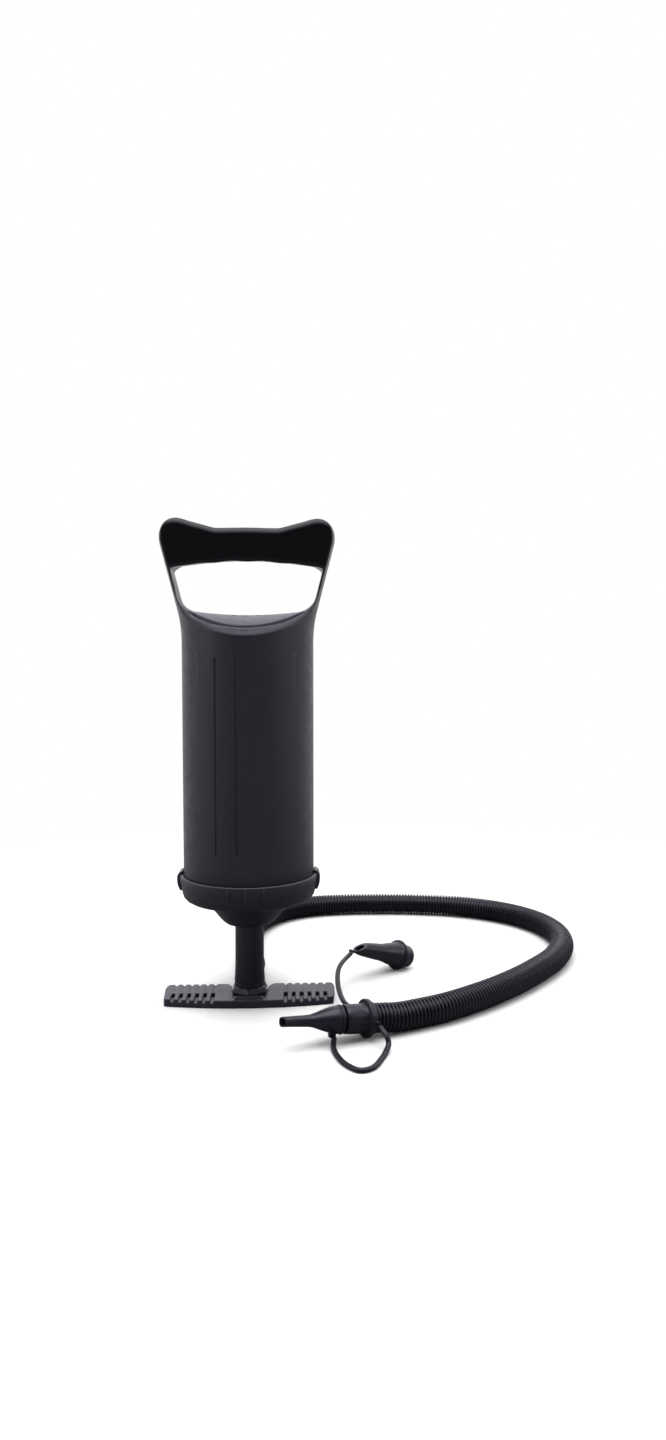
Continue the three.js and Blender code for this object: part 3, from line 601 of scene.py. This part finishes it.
def strap(points, name, node):
    """A soft moulded strap: a straight oval bar, cut into short lengths and laid along its route."""
    route = curve_through(points)
    length = length_of(route)
    bar = bmesh.new()
    oval = Matrix.Diagonal((1, strap_width / 2, strap_height / 2, 1))
    turn = oval @ Matrix.Rotation(math.pi / 2, 4, "Y")
    bmesh.ops.create_circle(bar, segments=16, radius=1, cap_ends=True, matrix=turn)
    steps = round(length / strap_step)
    for _ in range(steps):
        face = max(bar.faces, key=lambda f: f.calc_center_median().x)
        out = bmesh.ops.extrude_face_region(bar, geom=[face])["geom"]
        verts = [g for g in out if isinstance(g, bmesh.types.BMVert)]
        bmesh.ops.translate(bar, vec=(length / steps, 0, 0), verts=verts)
    inner = [
        f for f in bar.faces
        if abs(f.normal.x) > 0.9 and 0.01 < f.calc_center_median().x < length - 0.01
    ]
    bmesh.ops.delete(bar, geom=inner, context="FACES_ONLY")
    made = piece(along_route(bar, route, name), name, None, node, 50)
    made.data.materials[0] = strap_plastic
    print(name, round(length, 1), "mm long")
    return made, route, length


nozzle_strap, nozzle_strap_route, nozzle_strap_length = strap(
    nozzle_strap_points, "nozzle_strap_cord", "nozzle_strap"
)
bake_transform(nozzle_strap)
adapter_strap, adapter_strap_route, adapter_strap_length = strap(
    adapter_strap_points, "adapter_strap_cord", "adapter_strap"
)
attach(adapter_strap, "base")

# %% [markdown]
# The hose ends in a turned connector, the nozzle plugs into it, and a ring behind its flange
# holds both straps. All are round, so each is a profile spun about its axis and then laid along
# the nozzle's axis. Lengths run from the connector's front edge towards the tip. Thin edges are
# moulded with radii of half a millimetre or so, and the tip is cut at a slant.

# %% Connector, ring and nozzle
plug_radius = 7.4
connector_radius = 10
collar_radius = 9.2
connector_length = 19.4
lay_down = laid(flange_place + connector_length * nozzle_axis, nozzle_axis)

connector_shape = turned([
    (plug_radius + 0.3, 0), (connector_radius - 0.25, 0), (connector_radius - 0.1, -6),
    (connector_radius, -11), (connector_radius + 0.1, -15.7), (flange_radius - 0.4, -15.7),
    (flange_radius, -16.1),
    (flange_radius, -18.7), (flange_radius - 0.6, -19.4), (collar_radius, -19.4),
    (collar_radius, -22), (plug_radius + 0.3, -22),
])
placed(rounded(connector_shape, 0.35), lay_down)
connector = piece(connector_shape, "hose_connector_body", "base", "hose_connector")

ring_low, ring_high = -21.9, -19.7
ring_outside = connector_radius + 1.2
ring_shape = joined(
    rounded(turned([
        (collar_radius + 0.3, ring_low), (ring_outside, ring_low),
        (ring_outside, ring_high), (collar_radius + 0.3, ring_high),
    ]), 0.5),
    rounded(block((ring_outside - 1, -2, ring_low), (ring_outside + 1.6, 2, ring_high)), 0.6),
    rounded(block((-ring_outside - 1.6, -2, ring_low), (1 - ring_outside, 2, ring_high)), 0.6),
)
strap_ring = piece(placed(ring_shape, lay_down), "strap_ring_band", "base", "strap_ring")

nozzle_shape = turned([
    (5.2, -15), (7.0, -15), (plug_radius, -14.4), (plug_radius, 1.8), (9.5, 1.8), (9.85, 2.2),
    (9.9, 3.1), (9.7, 3.6), (8.9, 3.8), (8.9, 4.7), (9.4, 4.9), (9.25, 5.9), (9.1, 7.1),
    (8.85, 8.6), (8.5, 10.2), (8.1, 11.8), (7.6, 13.5), (7.0, 15.3), (6.4, 17.2), (5.7, 19.1),
    (5.1, 20.9), (4.6, 22.5), (4.2, 24.1),
    (3.95, 25.8), (3.8, 29), (3.6, 35), (3.4, 41), (3.3, 44.6), (3.0, 45.8), (2.6, 46.0), (2.3, 45.5),
    (2.3, 24), (5.2, 10),
])
rounded(nozzle_shape, 0.3)
slant = swung(block((0, -6, -12), (12, 6, 12)), -45, "Y")
bmesh.ops.translate(slant, vec=(-0.6, 0, 46), verts=slant.verts)
lug_shape = rounded(block((-2, -12.2, 4.8), (2.4, -6, 9.6)), 0.9)
nozzle_shape = combined(nozzle_shape, ("DIFFERENCE", slant), ("UNION", lug_shape))
nozzle = piece(placed(nozzle_shape, lay_down), "tapered_nozzle", "nozzle", "nozzle")

# %% [markdown]
# The wide adapter rests on its flange with its tip in the air, turned the other way: its small end
# comes forwards and its plug points away. Its mouth is cut slantwise, so it looks up.

# %% Wide adapter
adapter_axis = -aimed(37.4, 17.9)
lay_adapter = laid(Vector((85.8, 34.6, 27.13)), adapter_axis)

adapter_shape = turned([
    (2.6, 0), (4.1, 0), (4.6, 1.2), (5.0, 3), (5.25, 4.8), (5.45, 7), (5.7, 9.5), (6.0, 12.5), (6.4, 17),
    (6.7, 21), (6.9, 25), (7.2, 28.5), (7.7, 31.6), (8.4, 35), (9.1, 39), (9.7, 43), (10.2, 46),
    (11.1, 46.9), (12.0, 47), (12.5, 47.6), (12.5, 48.8), (12.0, 49.4), (9.2, 49.4), (9.1, 50), (9.1, 59.2),
    (8.7, 60.2), (8.0, 60.6), (6.6, 60.4), (6.6, 44), (5.4, 26), (3.9, 10), (3.0, 3),
], 72)
rounded(adapter_shape, 0.3)
mouth = swung(block((-9, 0, -16), (9, 14, 14)), -32, "X")
bmesh.ops.translate(mouth, vec=(0, -0.8, 0), verts=mouth.verts)
adapter_shape = combined(adapter_shape, ("DIFFERENCE", mouth))
piece(placed(adapter_shape, lay_adapter), "wide_adapter_body", "base", "wide_adapter")
adapter_lug_shape = placed(rounded(block((-2.1, -3.8, -7), (2.1, -1.4, 5)), 0.8), lay_adapter)
adapter_lug = piece(adapter_lug_shape, "wide_adapter_lug", "base", "wide_adapter")


# %% [markdown]
# The barrel and its loop handle are one large moulding, and the handle is what the eye lands on
# first. It is built the way its mould was cut: a round column that flares sideways, trimmed from
# the side to the grip's depth, with the hand opening and the saddle taken out. Booleans give the
# outline, and a voxel remesh with a little smoothing then gives every edge a moulded radius.

# %% Handle outline
barrel_radius = 49.7
barrel_bore = 47.7
overall_height = 368.3
deck_height = 296.5
deck_drop = 12.5
half_depth = 13.4
grip_height = 26
post_thickness = 3.9
deck_rise = 2.4
deck_side = 38
post_top = overall_height - 19.8
post_foot = deck_height + 10
flare_start = deck_height - 22
foot_half = barrel_radius + 4.7
top_half = 65.3
ear_x = 53.7
saddle_z = overall_height - 7.4
seat_z = deck_height - 4
cut_height = 268


def bezier(a, b, c, d, steps, first=1):
    """Points on a cubic curve between flat points a and d."""
    points = []
    for i in range(first, steps + 1):
        t = i / steps
        w = ((1 - t) ** 3, 3 * t * (1 - t) ** 2, 3 * t * t * (1 - t), t**3)
        points.append(tuple(sum(k * p[n] for k, p in zip(w, (a, b, c, d))) for n in (0, 1)))
    return points


def mirrored(points):
    """An outline drawn for the right half, closed with its mirror image."""
    return points + [(-x, y) for x, y in reversed(points) if x > 1e-6]


side_rows = [(barrel_radius, flare_start)]
side_rows += bezier((barrel_radius, flare_start), (barrel_radius, flare_start + 16),
                    (foot_half - 2.4, post_foot - 9.4), (foot_half, post_foot), 14)
side_rows += [(top_half, post_top)]
side_rows += bezier((top_half, post_top), (top_half + 2.6, post_top + 10),
                    (ear_x + 10.5, overall_height), (ear_x, overall_height), 14)
print("handle rows", len(side_rows))


# %% Column, side trim, hand opening and saddle
def column():
    """A round column from below the flare up to the ears, widened in X row by row."""
    shape = bmesh.new()
    start = cut_height - 8
    bmesh.ops.create_circle(
        shape,
        segments=180,
        radius=barrel_radius,
        cap_ends=True,
        matrix=Matrix.Translation((0, 0, start)),
    )
    face = shape.faces[:][0]
    low, wide = start, barrel_radius
    for half, high in side_rows:
        out = bmesh.ops.extrude_face_region(shape, geom=[face])["geom"]
        if low > start:
            shape.faces.remove(face)
        verts = [g for g in out if isinstance(g, bmesh.types.BMVert)]
        face = [g for g in out if isinstance(g, bmesh.types.BMFace)][0]
        bmesh.ops.translate(shape, vec=(0, 0, high - low), verts=verts)
        bmesh.ops.scale(shape, vec=(half / wide, 1, 1), verts=verts)
        low, wide = high, half
    return shape


def side_trim():
    """The handle's outline from the side: the deck's slopes, then two posts of even depth."""
    lip = deck_height - deck_drop
    right = [(55, cut_height - 20), (55, lip), (barrel_radius + 0.4, lip)]
    right += [(half_depth + 13.6, deck_height - 1.4)]
    right += bezier((half_depth + 13.6, deck_height - 1.4), (half_depth + 5, deck_height + 3),
                    (half_depth + 0.9, post_foot + 2), (half_depth + 0.3, post_foot + 14), 12)
    right += [(half_depth, overall_height - 34), (half_depth, overall_height + 5)]
    outline = [(-80, y, z) for y, z in mirrored(right)]
    return prism(outline, (160, 0, 0))


def hand_opening():
    """The opening's outline pushed from front to back, with its floor bent down at both ends."""
    top = saddle_z - grip_height
    lean = (top_half - foot_half) / (post_top - post_foot)

    def inner(z):
        return foot_half + lean * (z - post_foot) - post_thickness

    side = post_foot + 4
    deck_end = (deck_side, deck_height + deck_rise)
    right = bezier((0, deck_height), (12.7, deck_height), (25.3, deck_height + 0.8), deck_end, 10, 0)
    right += bezier(deck_end, (45, deck_height + 3.5), (inner(side) - 1.5, post_foot - 2),
                    (inner(side), side), 12)
    right += [(inner(top - 5), top - 5), (inner(top - 4) - 0.8, top - 4), (inner(top) - 3, top - 3.6)]
    right += bezier((inner(top) - 3, top - 3.6), (36, top - 0.3), (18, top + 1.4), (0, top + 1.4), 12)
    outline = [(x, -56, z) for x, z in mirrored(right)]
    shape = prism(outline, (0, 112, 0), 56)
    for vert in shape.verts:
        share = min(max((post_foot + 18 - vert.co.z) / 14, 0), 1)
        vert.co.z -= share * deck_drop * (vert.co.y / barrel_radius) ** 2
    return shape


# The handle's top edge from the middle outwards: level to a soft corner, then a straight climb
# to the ear, then down its outer side.
saddle_line = bezier((0, saddle_z + 0.4), (8, saddle_z + 0.4), (16, saddle_z), (22, saddle_z), 6, 0)
saddle_line += bezier((22, saddle_z), (24, saddle_z), (25, saddle_z + 0.2), (27, saddle_z + 0.8), 4)
saddle_line += [(42, saddle_z + 4.8)]
saddle_line += bezier((42, saddle_z + 4.8), (46, saddle_z + 5.9), (49, overall_height),
                      (ear_x, overall_height), 8)
outer_line = [row for row in reversed(side_rows) if ear_x < row[0] and row[1] > post_top + 9]


def top_at(x):
    """The height of the handle's top edge at a distance x from the middle."""
    line = saddle_line + outer_line
    for (x0, z0), (x1, z1) in zip(line, line[1:]):
        if x0 <= abs(x) < x1:
            return z0 + (z1 - z0) * (abs(x) - x0) / (x1 - x0)
    return line[-1][1] if abs(x) > 60 else line[0][1]


def saddle():
    """What is taken off between the two ears."""
    right = saddle_line + [(ear_x, overall_height + 8)]
    return prism([(x, -60, z) for x, z in mirrored(right)], (0, 120, 0))


print("cutting tools ready")

# %% [markdown]
# Inside, the chamber ends in a flat seat for the intake disc, with a hollow boss for the disc's
# retainer in its middle. The remesh softens that corner and would lose the small air holes, so
# the disc's room and the ring of holes are cut after it.

# %% Cut and soften the handle
air_hole_count = 12
air_hole_radius = 1.9
air_hole_circle = 17.4
boss_radius = 5.5
boss_low = seat_z - 3.1
chamber = turned([
    (0, cut_height - 20), (barrel_bore, cut_height - 20), (barrel_bore, seat_z - 13),
    (30, seat_z - 3.5), (24.5, seat_z), (0, seat_z),
], 160, closed=False)
boss = turned([(2.9, boss_low), (boss_radius, boss_low), (boss_radius, seat_z + 1), (2.9, seat_z + 1)], 32)
disc_room = turned([
    (boss_radius, seat_z - 5), (24, seat_z - 5), (24, seat_z + 0.3), (boss_radius, seat_z + 0.3),
])


def ring_of_holes(count, first, circle, radius, middle, depth, segments):
    """Upright cylinders in a ring, to be cut out as holes. The first angle is in degrees."""
    holes = bmesh.new()
    for number in range(count):
        angle = math.radians(first + 360 / count * number)
        place = Matrix.Translation((circle * math.cos(angle), circle * math.sin(angle), middle))
        bmesh.ops.create_cone(
            holes, cap_ends=True, segments=segments, radius1=radius, radius2=radius, depth=depth, matrix=place
        )
    return holes


air_holes = ring_of_holes(air_hole_count, 26, air_hole_circle, air_hole_radius, seat_z + 4, 16, 16)
handle = combined(
    column(),
    ("INTERSECT", side_trim()),
    ("DIFFERENCE", saddle()),
    ("DIFFERENCE", hand_opening()),
    ("DIFFERENCE", chamber),
    ("UNION", boss),
)
print("handle cut", len(handle.verts))
handle = remeshed(handle, 0.8, 5)
print("handle remeshed", len(handle.verts))

# %% [markdown]
# Some things are shaped on the fine mesh afterwards, because they fade out along their length.
# A shallow groove runs along the deck's front and rear edges, and outside it the wall leans in,
# so a bright bevel shows below a thin dark line and narrows towards the posts. Under the grip,
# shallow waves make room for the fingers, and the handle's top edges are rounded for the palm.


# %% Lip bevel, finger waves, round top and a true cylinder
def ease(value, low, high):
    """A smooth step from 0 at low to 1 at high."""
    t = min(max((value - low) / (high - low), 0), 1)
    return t * t * (3 - 2 * t)


for vert in handle.verts:
    x, y, z = vert.co
    radius = math.hypot(x, y)
    if z < flare_start - 1 and radius > barrel_bore + 1:
        vert.co.xy = vert.co.xy * (barrel_radius / radius)
    elif z < seat_z - 14 and barrel_bore - 2 < radius < barrel_bore + 1:
        vert.co.xy = vert.co.xy * (barrel_bore / radius)
    crown = deck_height + deck_rise * (x / deck_side) ** 2
    below = crown - deck_drop * (y / barrel_radius) ** 2 - z
    if abs(below) < 0.8 and radius < 47 and abs(x) < deck_side:
        vert.co.z += below * (1 - ease(radius, 45, 47))
    if -1 < below < 1 and abs(y) > 18:
        groove = ease(radius, 43.6, 45) * (1 - ease(radius, 46.2, 47.4)) * (1 - ease(abs(x), 38, 46))
        vert.co.z -= 1.8 * groove
    if -2 < below < 9 and radius > 43 and abs(y) > 18:
        lean = 2.7 * min(max((4.6 - below) / 3.8, 0), 1)
        lean *= ease(radius, 43, 48.8) * (1 - ease(abs(x), 34, 48))
        vert.co.y -= math.copysign(lean, y)
    if 326 < z < 341 and abs(y) < 16:
        wave = 0.6 * (0.5 + 0.5 * math.cos(2 * math.pi * x / 24))
        wave *= (1 - ease(y, -9, 4)) * (1 - ease(abs(x), 34, 50))
        climb = 2.2 * ease(y, -11.5, 13) * (1 - ease(abs(x), 50, 56.5))
        vert.co.z += (climb - wave) * (1 - ease(z, 336.5, 341))
    down = top_at(x) - z
    if z > post_top and down < 6 and abs(y) < 16:
        vert.co.y *= math.sqrt(1 - 0.6 * min((6 - down) / 6, 1) ** 2)
handle = combined(handle, ("DIFFERENCE", disc_room), ("DIFFERENCE", air_holes))
bmesh.ops.bisect_plane(
    handle,
    geom=handle.verts[:] + handle.edges[:] + handle.faces[:],
    plane_co=(0, 0, cut_height),
    plane_no=(0, 0, 1),
    clear_inner=True,
)
print("handle trimmed", len(handle.verts))

# %% [markdown]
# Below the handle the barrel is a plain tube, spun by itself so that its wall stays exactly
# round. Two long shallow grooves are cut in its front, and bridged loops join it to the handle.

# %% Tube with its two grooves
barrel_low = 85.5
groove_low = 122
groove_high = 264
grip_low = 0.332
tube = turned([
    (barrel_bore, barrel_low), (barrel_radius - 0.3, barrel_low), (barrel_radius, barrel_low + 0.3),
    (barrel_radius, 110), (barrel_radius, 150), (barrel_radius, 190), (barrel_radius, 230),
    (barrel_radius, cut_height), (barrel_bore, cut_height),
], 216)
for angle in (-25, -7):
    corners = (-1.1, -barrel_radius - 3, groove_low), (1.1, 0.75 - barrel_radius, groove_high)
    slot = rounded(block(*corners), 0.45)
    tube = combined(tube, ("DIFFERENCE", swung(slot, angle)))
end = [f for f in tube.faces if f.calc_center_median().z > cut_height - 0.01]
bmesh.ops.delete(tube, geom=end, context="FACES")
barrel_shape = joined(handle, tube)
rim = [e for e in barrel_shape.edges if e.is_boundary and abs(e.verts[0].co.z - cut_height) < 0.05]
for outside in (True, False):
    middle = (barrel_radius + barrel_bore) / 2
    loops = [e for e in rim if (math.hypot(*e.verts[0].co.xy) > middle) == outside]
    bmesh.ops.bridge_loops(barrel_shape, edges=loops)
print("open edges left", len([e for e in barrel_shape.edges if e.is_boundary]))
barrel = piece(barrel_shape, "barrel_and_handle", "barrel", "barrel", 50)
barrel.data.materials.append(grip_plastic)
for face in barrel.data.polygons:
    face.material_index = 1 if face.center.z > grip_low else 0

# %% [markdown]
# The bottom cap is a turned cup that snaps on to the barrel. Its neck is a round funnel that
# guides the rod. Three fine ribs mark its front, and at each side an ear with a slot catches a
# small tooth on the barrel. The cup is spun, and the ears are cut to its curve by a boolean.

# %% Bottom cap
cap_rim = 99.6
cap_low = 80.4
neck_low = 60.2
cap_inside = 50
cap_outside = 52.8
cap_floor = 83.5
hub_top = 90.9
cap_shape = turned([
    (11.3, neck_low), (15.0, neck_low + 0.2), (18.2, neck_low + 1.3), (20.8, neck_low + 3.4),
    (23.2, neck_low + 6.2), (25.8, neck_low + 9.6), (28.4, neck_low + 12.8), (31, neck_low + 15.6),
    (33.6, neck_low + 18), (36.2, neck_low + 19.6), (38.6, cap_low), (44.4, cap_low), (46.8, cap_low + 0.5),
    (48.8, cap_low + 1.8), (50.2, cap_low + 3.8), (51.1, cap_low + 7), (51.9, cap_low + 12),
    (cap_outside, cap_rim - 1.1), (cap_outside - 0.35, cap_rim), (cap_inside, cap_rim),
    (cap_inside, cap_floor), (31.6, cap_floor), (27.2, neck_low + 16.5), (23.4, neck_low + 11),
    (19.6, neck_low + 6.5), (16.5, neck_low + 4.4), (16.5, hub_top), (14.1, hub_top),
    (14.1, neck_low + 3), (11.3, neck_low + 3),
], 192)
rounded(cap_shape, 0.35, 35)
cap_holes = ring_of_holes(10, 18, 41.5, 2, 82, 8, 24)
cap_shape = combined(cap_shape, ("DIFFERENCE", cap_holes))
marks = []
for angle in (-14, 0, 14):
    corners = (-0.75, -cap_outside - 0.35, cap_rim - 9.5), (0.75, 1.2 - cap_outside, cap_rim - 1.4)
    marks.append(swung(rounded(block(*corners), 0.3), angle))


def snap_ear(turn):
    """A loop on the cap's side. The slots in it end at the barrel's tooth, in the middle."""
    outside, low, high = cap_outside + 1.7, cap_low + 7, cap_rim + 2.6
    outline = [(cap_inside + 0.2, low), (cap_outside - 0.6, low)]
    outline += bezier((cap_outside - 0.6, low), (outside, low + 4), (outside, low + 7),
                      (outside, low + 10), 8)
    outline += bezier((outside, low + 10), (outside, high - 2.5), (outside - 2, high),
                      (cap_inside + 0.2, high), 10)
    ear = prism([(x, -7, z) for x, z in outline], (0, 14, 0))
    slot = [(0.2, 3.5), (0.8, 5), (0.8, 9), (0.2, 9.5)]
    for start in (-9, 1):
        cutter = prism([(cap_outside + x, start, low + z) for x, z in slot], (0, 8, 0))
        ear = combined(ear, ("DIFFERENCE", cutter))
    near, far = cap_inside + 0.1, outside + 6
    sleeve = turned([(near, low - 1), (far, low - 1), (far, high + 1), (near, high + 1)], 192)
    ear = combined(ear, ("INTERSECT", sleeve))
    return swung(remeshed(ear, 0.3, 3), turn)


cap_parts = joined(cap_shape, *marks, snap_ear(0), snap_ear(180))
piece(cap_parts, "bottom_cap_with_ears", "barrel", "bottom_cap")

# %% [markdown]
# The rod is a hollow moulding with a slight flare where it stands in its base, and a small gate
# mark on its front just above the flare. It is spun, and the mark is a flattened sphere.

# %% Piston rod
rod_radius = 11
rod_bore = 8
rod_low = 9
rod_top = 220
rod_shape = turned([
    (9.5, rod_low), (9.5, 15.3), (11.7, 15.3), (11.65, 17), (11.45, 20), (11.2, 25), (11.05, 28),
    (rod_radius, 32), (rod_radius, 80), (rod_radius, 140), (rod_radius, 200),
    (rod_radius, rod_top - 0.3), (rod_radius - 0.3, rod_top), (rod_bore, rod_top), (rod_bore, rod_low),
], 128)
gate_mark = bmesh.new()
flattened = Matrix.Translation((-0.3, -10.9, 29)) @ Matrix.Diagonal((1, 0.24, 1, 1))
bmesh.ops.create_uvsphere(gate_mark, u_segments=20, v_segments=12, radius=1.15, matrix=flattened)
piece(joined(rod_shape, gate_mark), "piston_rod_tube", "base", "piston_rod")


# %% [markdown]
# The foot plate is a flat moulding with a bowed front edge and two ribbed wings to stand on.
# Each rib slot is an open channel that runs out through the front edge, deeper at its rear end,
# and small notches scallop the rear edge. The stem base is a six-sided collar screwed on top.

# %% Foot plate
foot_width_half = 66.2
foot_front = 20.4
foot_bow = 7
foot_rear = 17
foot_thickness = 6
slot_places = [27.9 + 6.1 * i for i in range(6)]
slot_half = 1.45
screw_x = 12.5


def arc(a, control, b, steps, first=1):
    """Points on a quadratic curve between flat points a and b."""
    points = []
    for i in range(first, steps + 1):
        t = i / steps
        w = ((1 - t) ** 2, 2 * t * (1 - t), t * t)
        points.append(tuple(w[0] * a[n] + w[1] * control[n] + w[2] * b[n] for n in (0, 1)))
    return points


def foot_outline():
    """The right half from the middle of the front edge round to the middle of the rear edge."""
    end = foot_front - foot_bow
    wide = foot_width_half
    peak = (0, -foot_front - foot_bow + 0.9)
    bow = arc((5 - wide, -end - 1.2), peak, (wide - 5, -end - 1.2), 48, 0)
    right = [p for p in bow if p[0] >= -1e-6]
    right += arc((wide - 5, -end - 1.2), (wide - 1.5, -end - 1), (wide - 1.5, -end + 1), 6)
    right += [(wide, 6)]
    right += arc((wide, 6), (wide, foot_rear), (wide - 4, foot_rear), 8)
    for x in reversed(slot_places):
        notch = (x + 1.6, foot_rear), (x, foot_rear - 4), (x - 1.6, foot_rear)
        right += arc(*notch, 6, 0)
    right += [(20, foot_rear)] + arc((20, foot_rear), (17, foot_rear), (13, 8), 8)
    return right


foot_shape = prism([(x, y, 0) for x, y in mirrored(foot_outline())], (0, 0, foot_thickness))
pad = rounded(block((-11, -19.2, 5), (11, -15.3, 8.2)), 0.8)
cuts = [
    ("UNION", pad),
    ("DIFFERENCE", turned([(0, 1.7), (9, 1.7), (9, 10), (0, 10)], 64, closed=False)),
    ("DIFFERENCE", block((-5.9, 0, 3.5), (5.9, 17, 10))),
]
for x in slot_places + [-x for x in slot_places]:
    left, right = x - slot_half, x + slot_half
    ramp = [(left, -22.4, 3.7), (left, -6.5, 4.2), (left, -6.5, 7), (left, -22.4, 7)]
    cuts.append(("DIFFERENCE", prism(ramp, (2 * slot_half, 0, 0))))
    cuts.append(("DIFFERENCE", block((left, -6.6, 1.6), (right, -3, 7))))
    cuts.append(("DIFFERENCE", block((left + 0.5, -1, 5.3), (right - 0.5, 18, 7))))
for x in (-screw_x, screw_x):
    hole = turned([(0, -1), (2.7, -1), (2.7, 2.7), (1.7, 2.7), (1.7, 9), (0, 9)], 32, closed=False)
    bmesh.ops.translate(hole, vec=(x, 0, 0), verts=hole.verts)
    cuts.append(("DIFFERENCE", hole))
foot_shape = combined(foot_shape, *cuts)
print("foot cut", len(foot_shape.verts))
foot_shape = remeshed(foot_shape, 0.45, 3)
piece(foot_shape, "foot_plate_ribbed", "base", "foot_plate", 60)


# %% Stem base and hose cuff
def cad_copy(node):
    """A CAD node's mesh in millimetres, with its loose triangles merged."""
    shape = bmesh.new()
    shape.from_mesh(frame["nodes"][node].data)
    bmesh.ops.scale(shape, vec=(1000,) * 3, verts=shape.verts)
    bmesh.ops.remove_doubles(shape, verts=shape.verts, dist=0.01)
    return shape


piece(remeshed(cad_copy("stem_base"), 0.42, 4), "stem_base_collar", "base", "stem_base", 60)
cuff_shape = turned([
    (6.4, 19.5), (9.3, 19.5), (9.3, 43.5), (9.8, 44), (9.8, cuff_end - 0.4), (6.4, cuff_end),
], 64)
to_the_rear = Matrix.Translation((0, 0, outlet_height)) @ Matrix.Rotation(-math.pi / 2, 4, "X")
piece(placed(rounded(cuff_shape, 0.5), to_the_rear), "hose_cuff_sleeve", "base", "hose_cuff")

# %% [markdown]
# The pump stands on a plain pale floor that fades to white a little way off. A bright overhead
# softbox and a pale surround behind the pump light it; the side behind the camera is darker, so
# faces that look at the camera stay deep and only edges and tops catch the light.

# %% Floor, world and lamps
floor_shape = bmesh.new()
bmesh.ops.create_grid(floor_shape, x_segments=1, y_segments=1, size=6)
floor = as_object(floor_shape, "studio_floor")
floor_material, tree, shader, place = new_material("studio_floor_matt_white", Roughness=0.9)
shader.inputs["Specular IOR Level"].default_value = 0.0
offset = add_node(tree, "ShaderNodeVectorMath", {"operation": "SUBTRACT"}, {0: place, 1: (0.1, 0.05, 0)})
reach = add_node(tree, "ShaderNodeVectorMath", {"operation": "LENGTH"}, {0: offset.outputs[0]})
far = spread(tree, reach.outputs["Value"], 0, 1, 0.28, 0.75)
path = add_node(tree, "ShaderNodeLightPath").outputs
tone = blend_colours(tree, path["Is Camera Ray"], colour("#7c7c80"), colour("#f2f2f2"))
tree.links.new(tone, shader.inputs["Base Color"])
rays = {0: path["Is Camera Ray"], 1: path["Is Glossy Ray"]}
seen = add_node(tree, "ShaderNodeMath", {"operation": "MAXIMUM"}, rays)
fade = add_node(tree, "ShaderNodeMath", {"operation": "MULTIPLY"}, {0: seen.outputs[0], 1: far})
glow = add_node(tree, "ShaderNodeEmission", sockets={"Color": (1, 1, 1, 1), "Strength": 1.0})
layers = {0: fade.outputs[0], 1: shader.outputs[0], 2: glow.outputs[0]}
both = add_node(tree, "ShaderNodeMixShader", sockets=layers)
output = [n for n in tree.nodes if n.bl_idname == "ShaderNodeOutputMaterial"][0]
tree.links.new(both.outputs[0], output.inputs["Surface"])
floor.data.materials.append(floor_material)

world = bpy.data.worlds.new("studio_surround")
bpy.context.scene.world = world
world.use_nodes = True
tree = world.node_tree
tree.nodes.clear()
direction = add_node(tree, "ShaderNodeTexCoord").outputs["Generated"]
split = add_node(tree, "ShaderNodeSeparateXYZ", sockets={"Vector": direction}).outputs
behind = spread(tree, split["Y"], 0.04, 1.3, -0.5, 0.7)
path = add_node(tree, "ShaderNodeLightPath").outputs
mix = {"Factor": path["Is Camera Ray"], "A": behind, "B": 1.0}
level = add_node(tree, "ShaderNodeMix", {"data_type": "FLOAT"}, mix)
sky = add_node(tree, "ShaderNodeBackground", sockets={"Color": (1, 1, 1, 1), "Strength": level.outputs[0]})
add_node(tree, "ShaderNodeOutputWorld", sockets={"Surface": sky.outputs[0]})


def softbox(name, place, target, size, power):
    """A square area lamp of size metres that looks at target."""
    lamp = bpy.data.lights.new(name, "AREA")
    lamp.size = size
    lamp.energy = power
    made = bpy.data.objects.new(name, lamp)
    made.location = place
    made.rotation_euler = (Vector(target) - Vector(place)).to_track_quat("-Z", "Y").to_euler()
    bpy.context.scene.collection.objects.link(made)
    return made


softbox("overhead_softbox", (0.05, -0.15, 1.5), (0.05, 0.0, 0.1), 1.4, 26)
softbox("left_softbox", (-1.3, -0.5, 0.7), (0, 0, 0.2), 0.7, 5)
softbox("right_softbox", (1.4, -0.4, 0.8), (0.1, 0, 0.2), 0.7, 5)
print("stage ready")
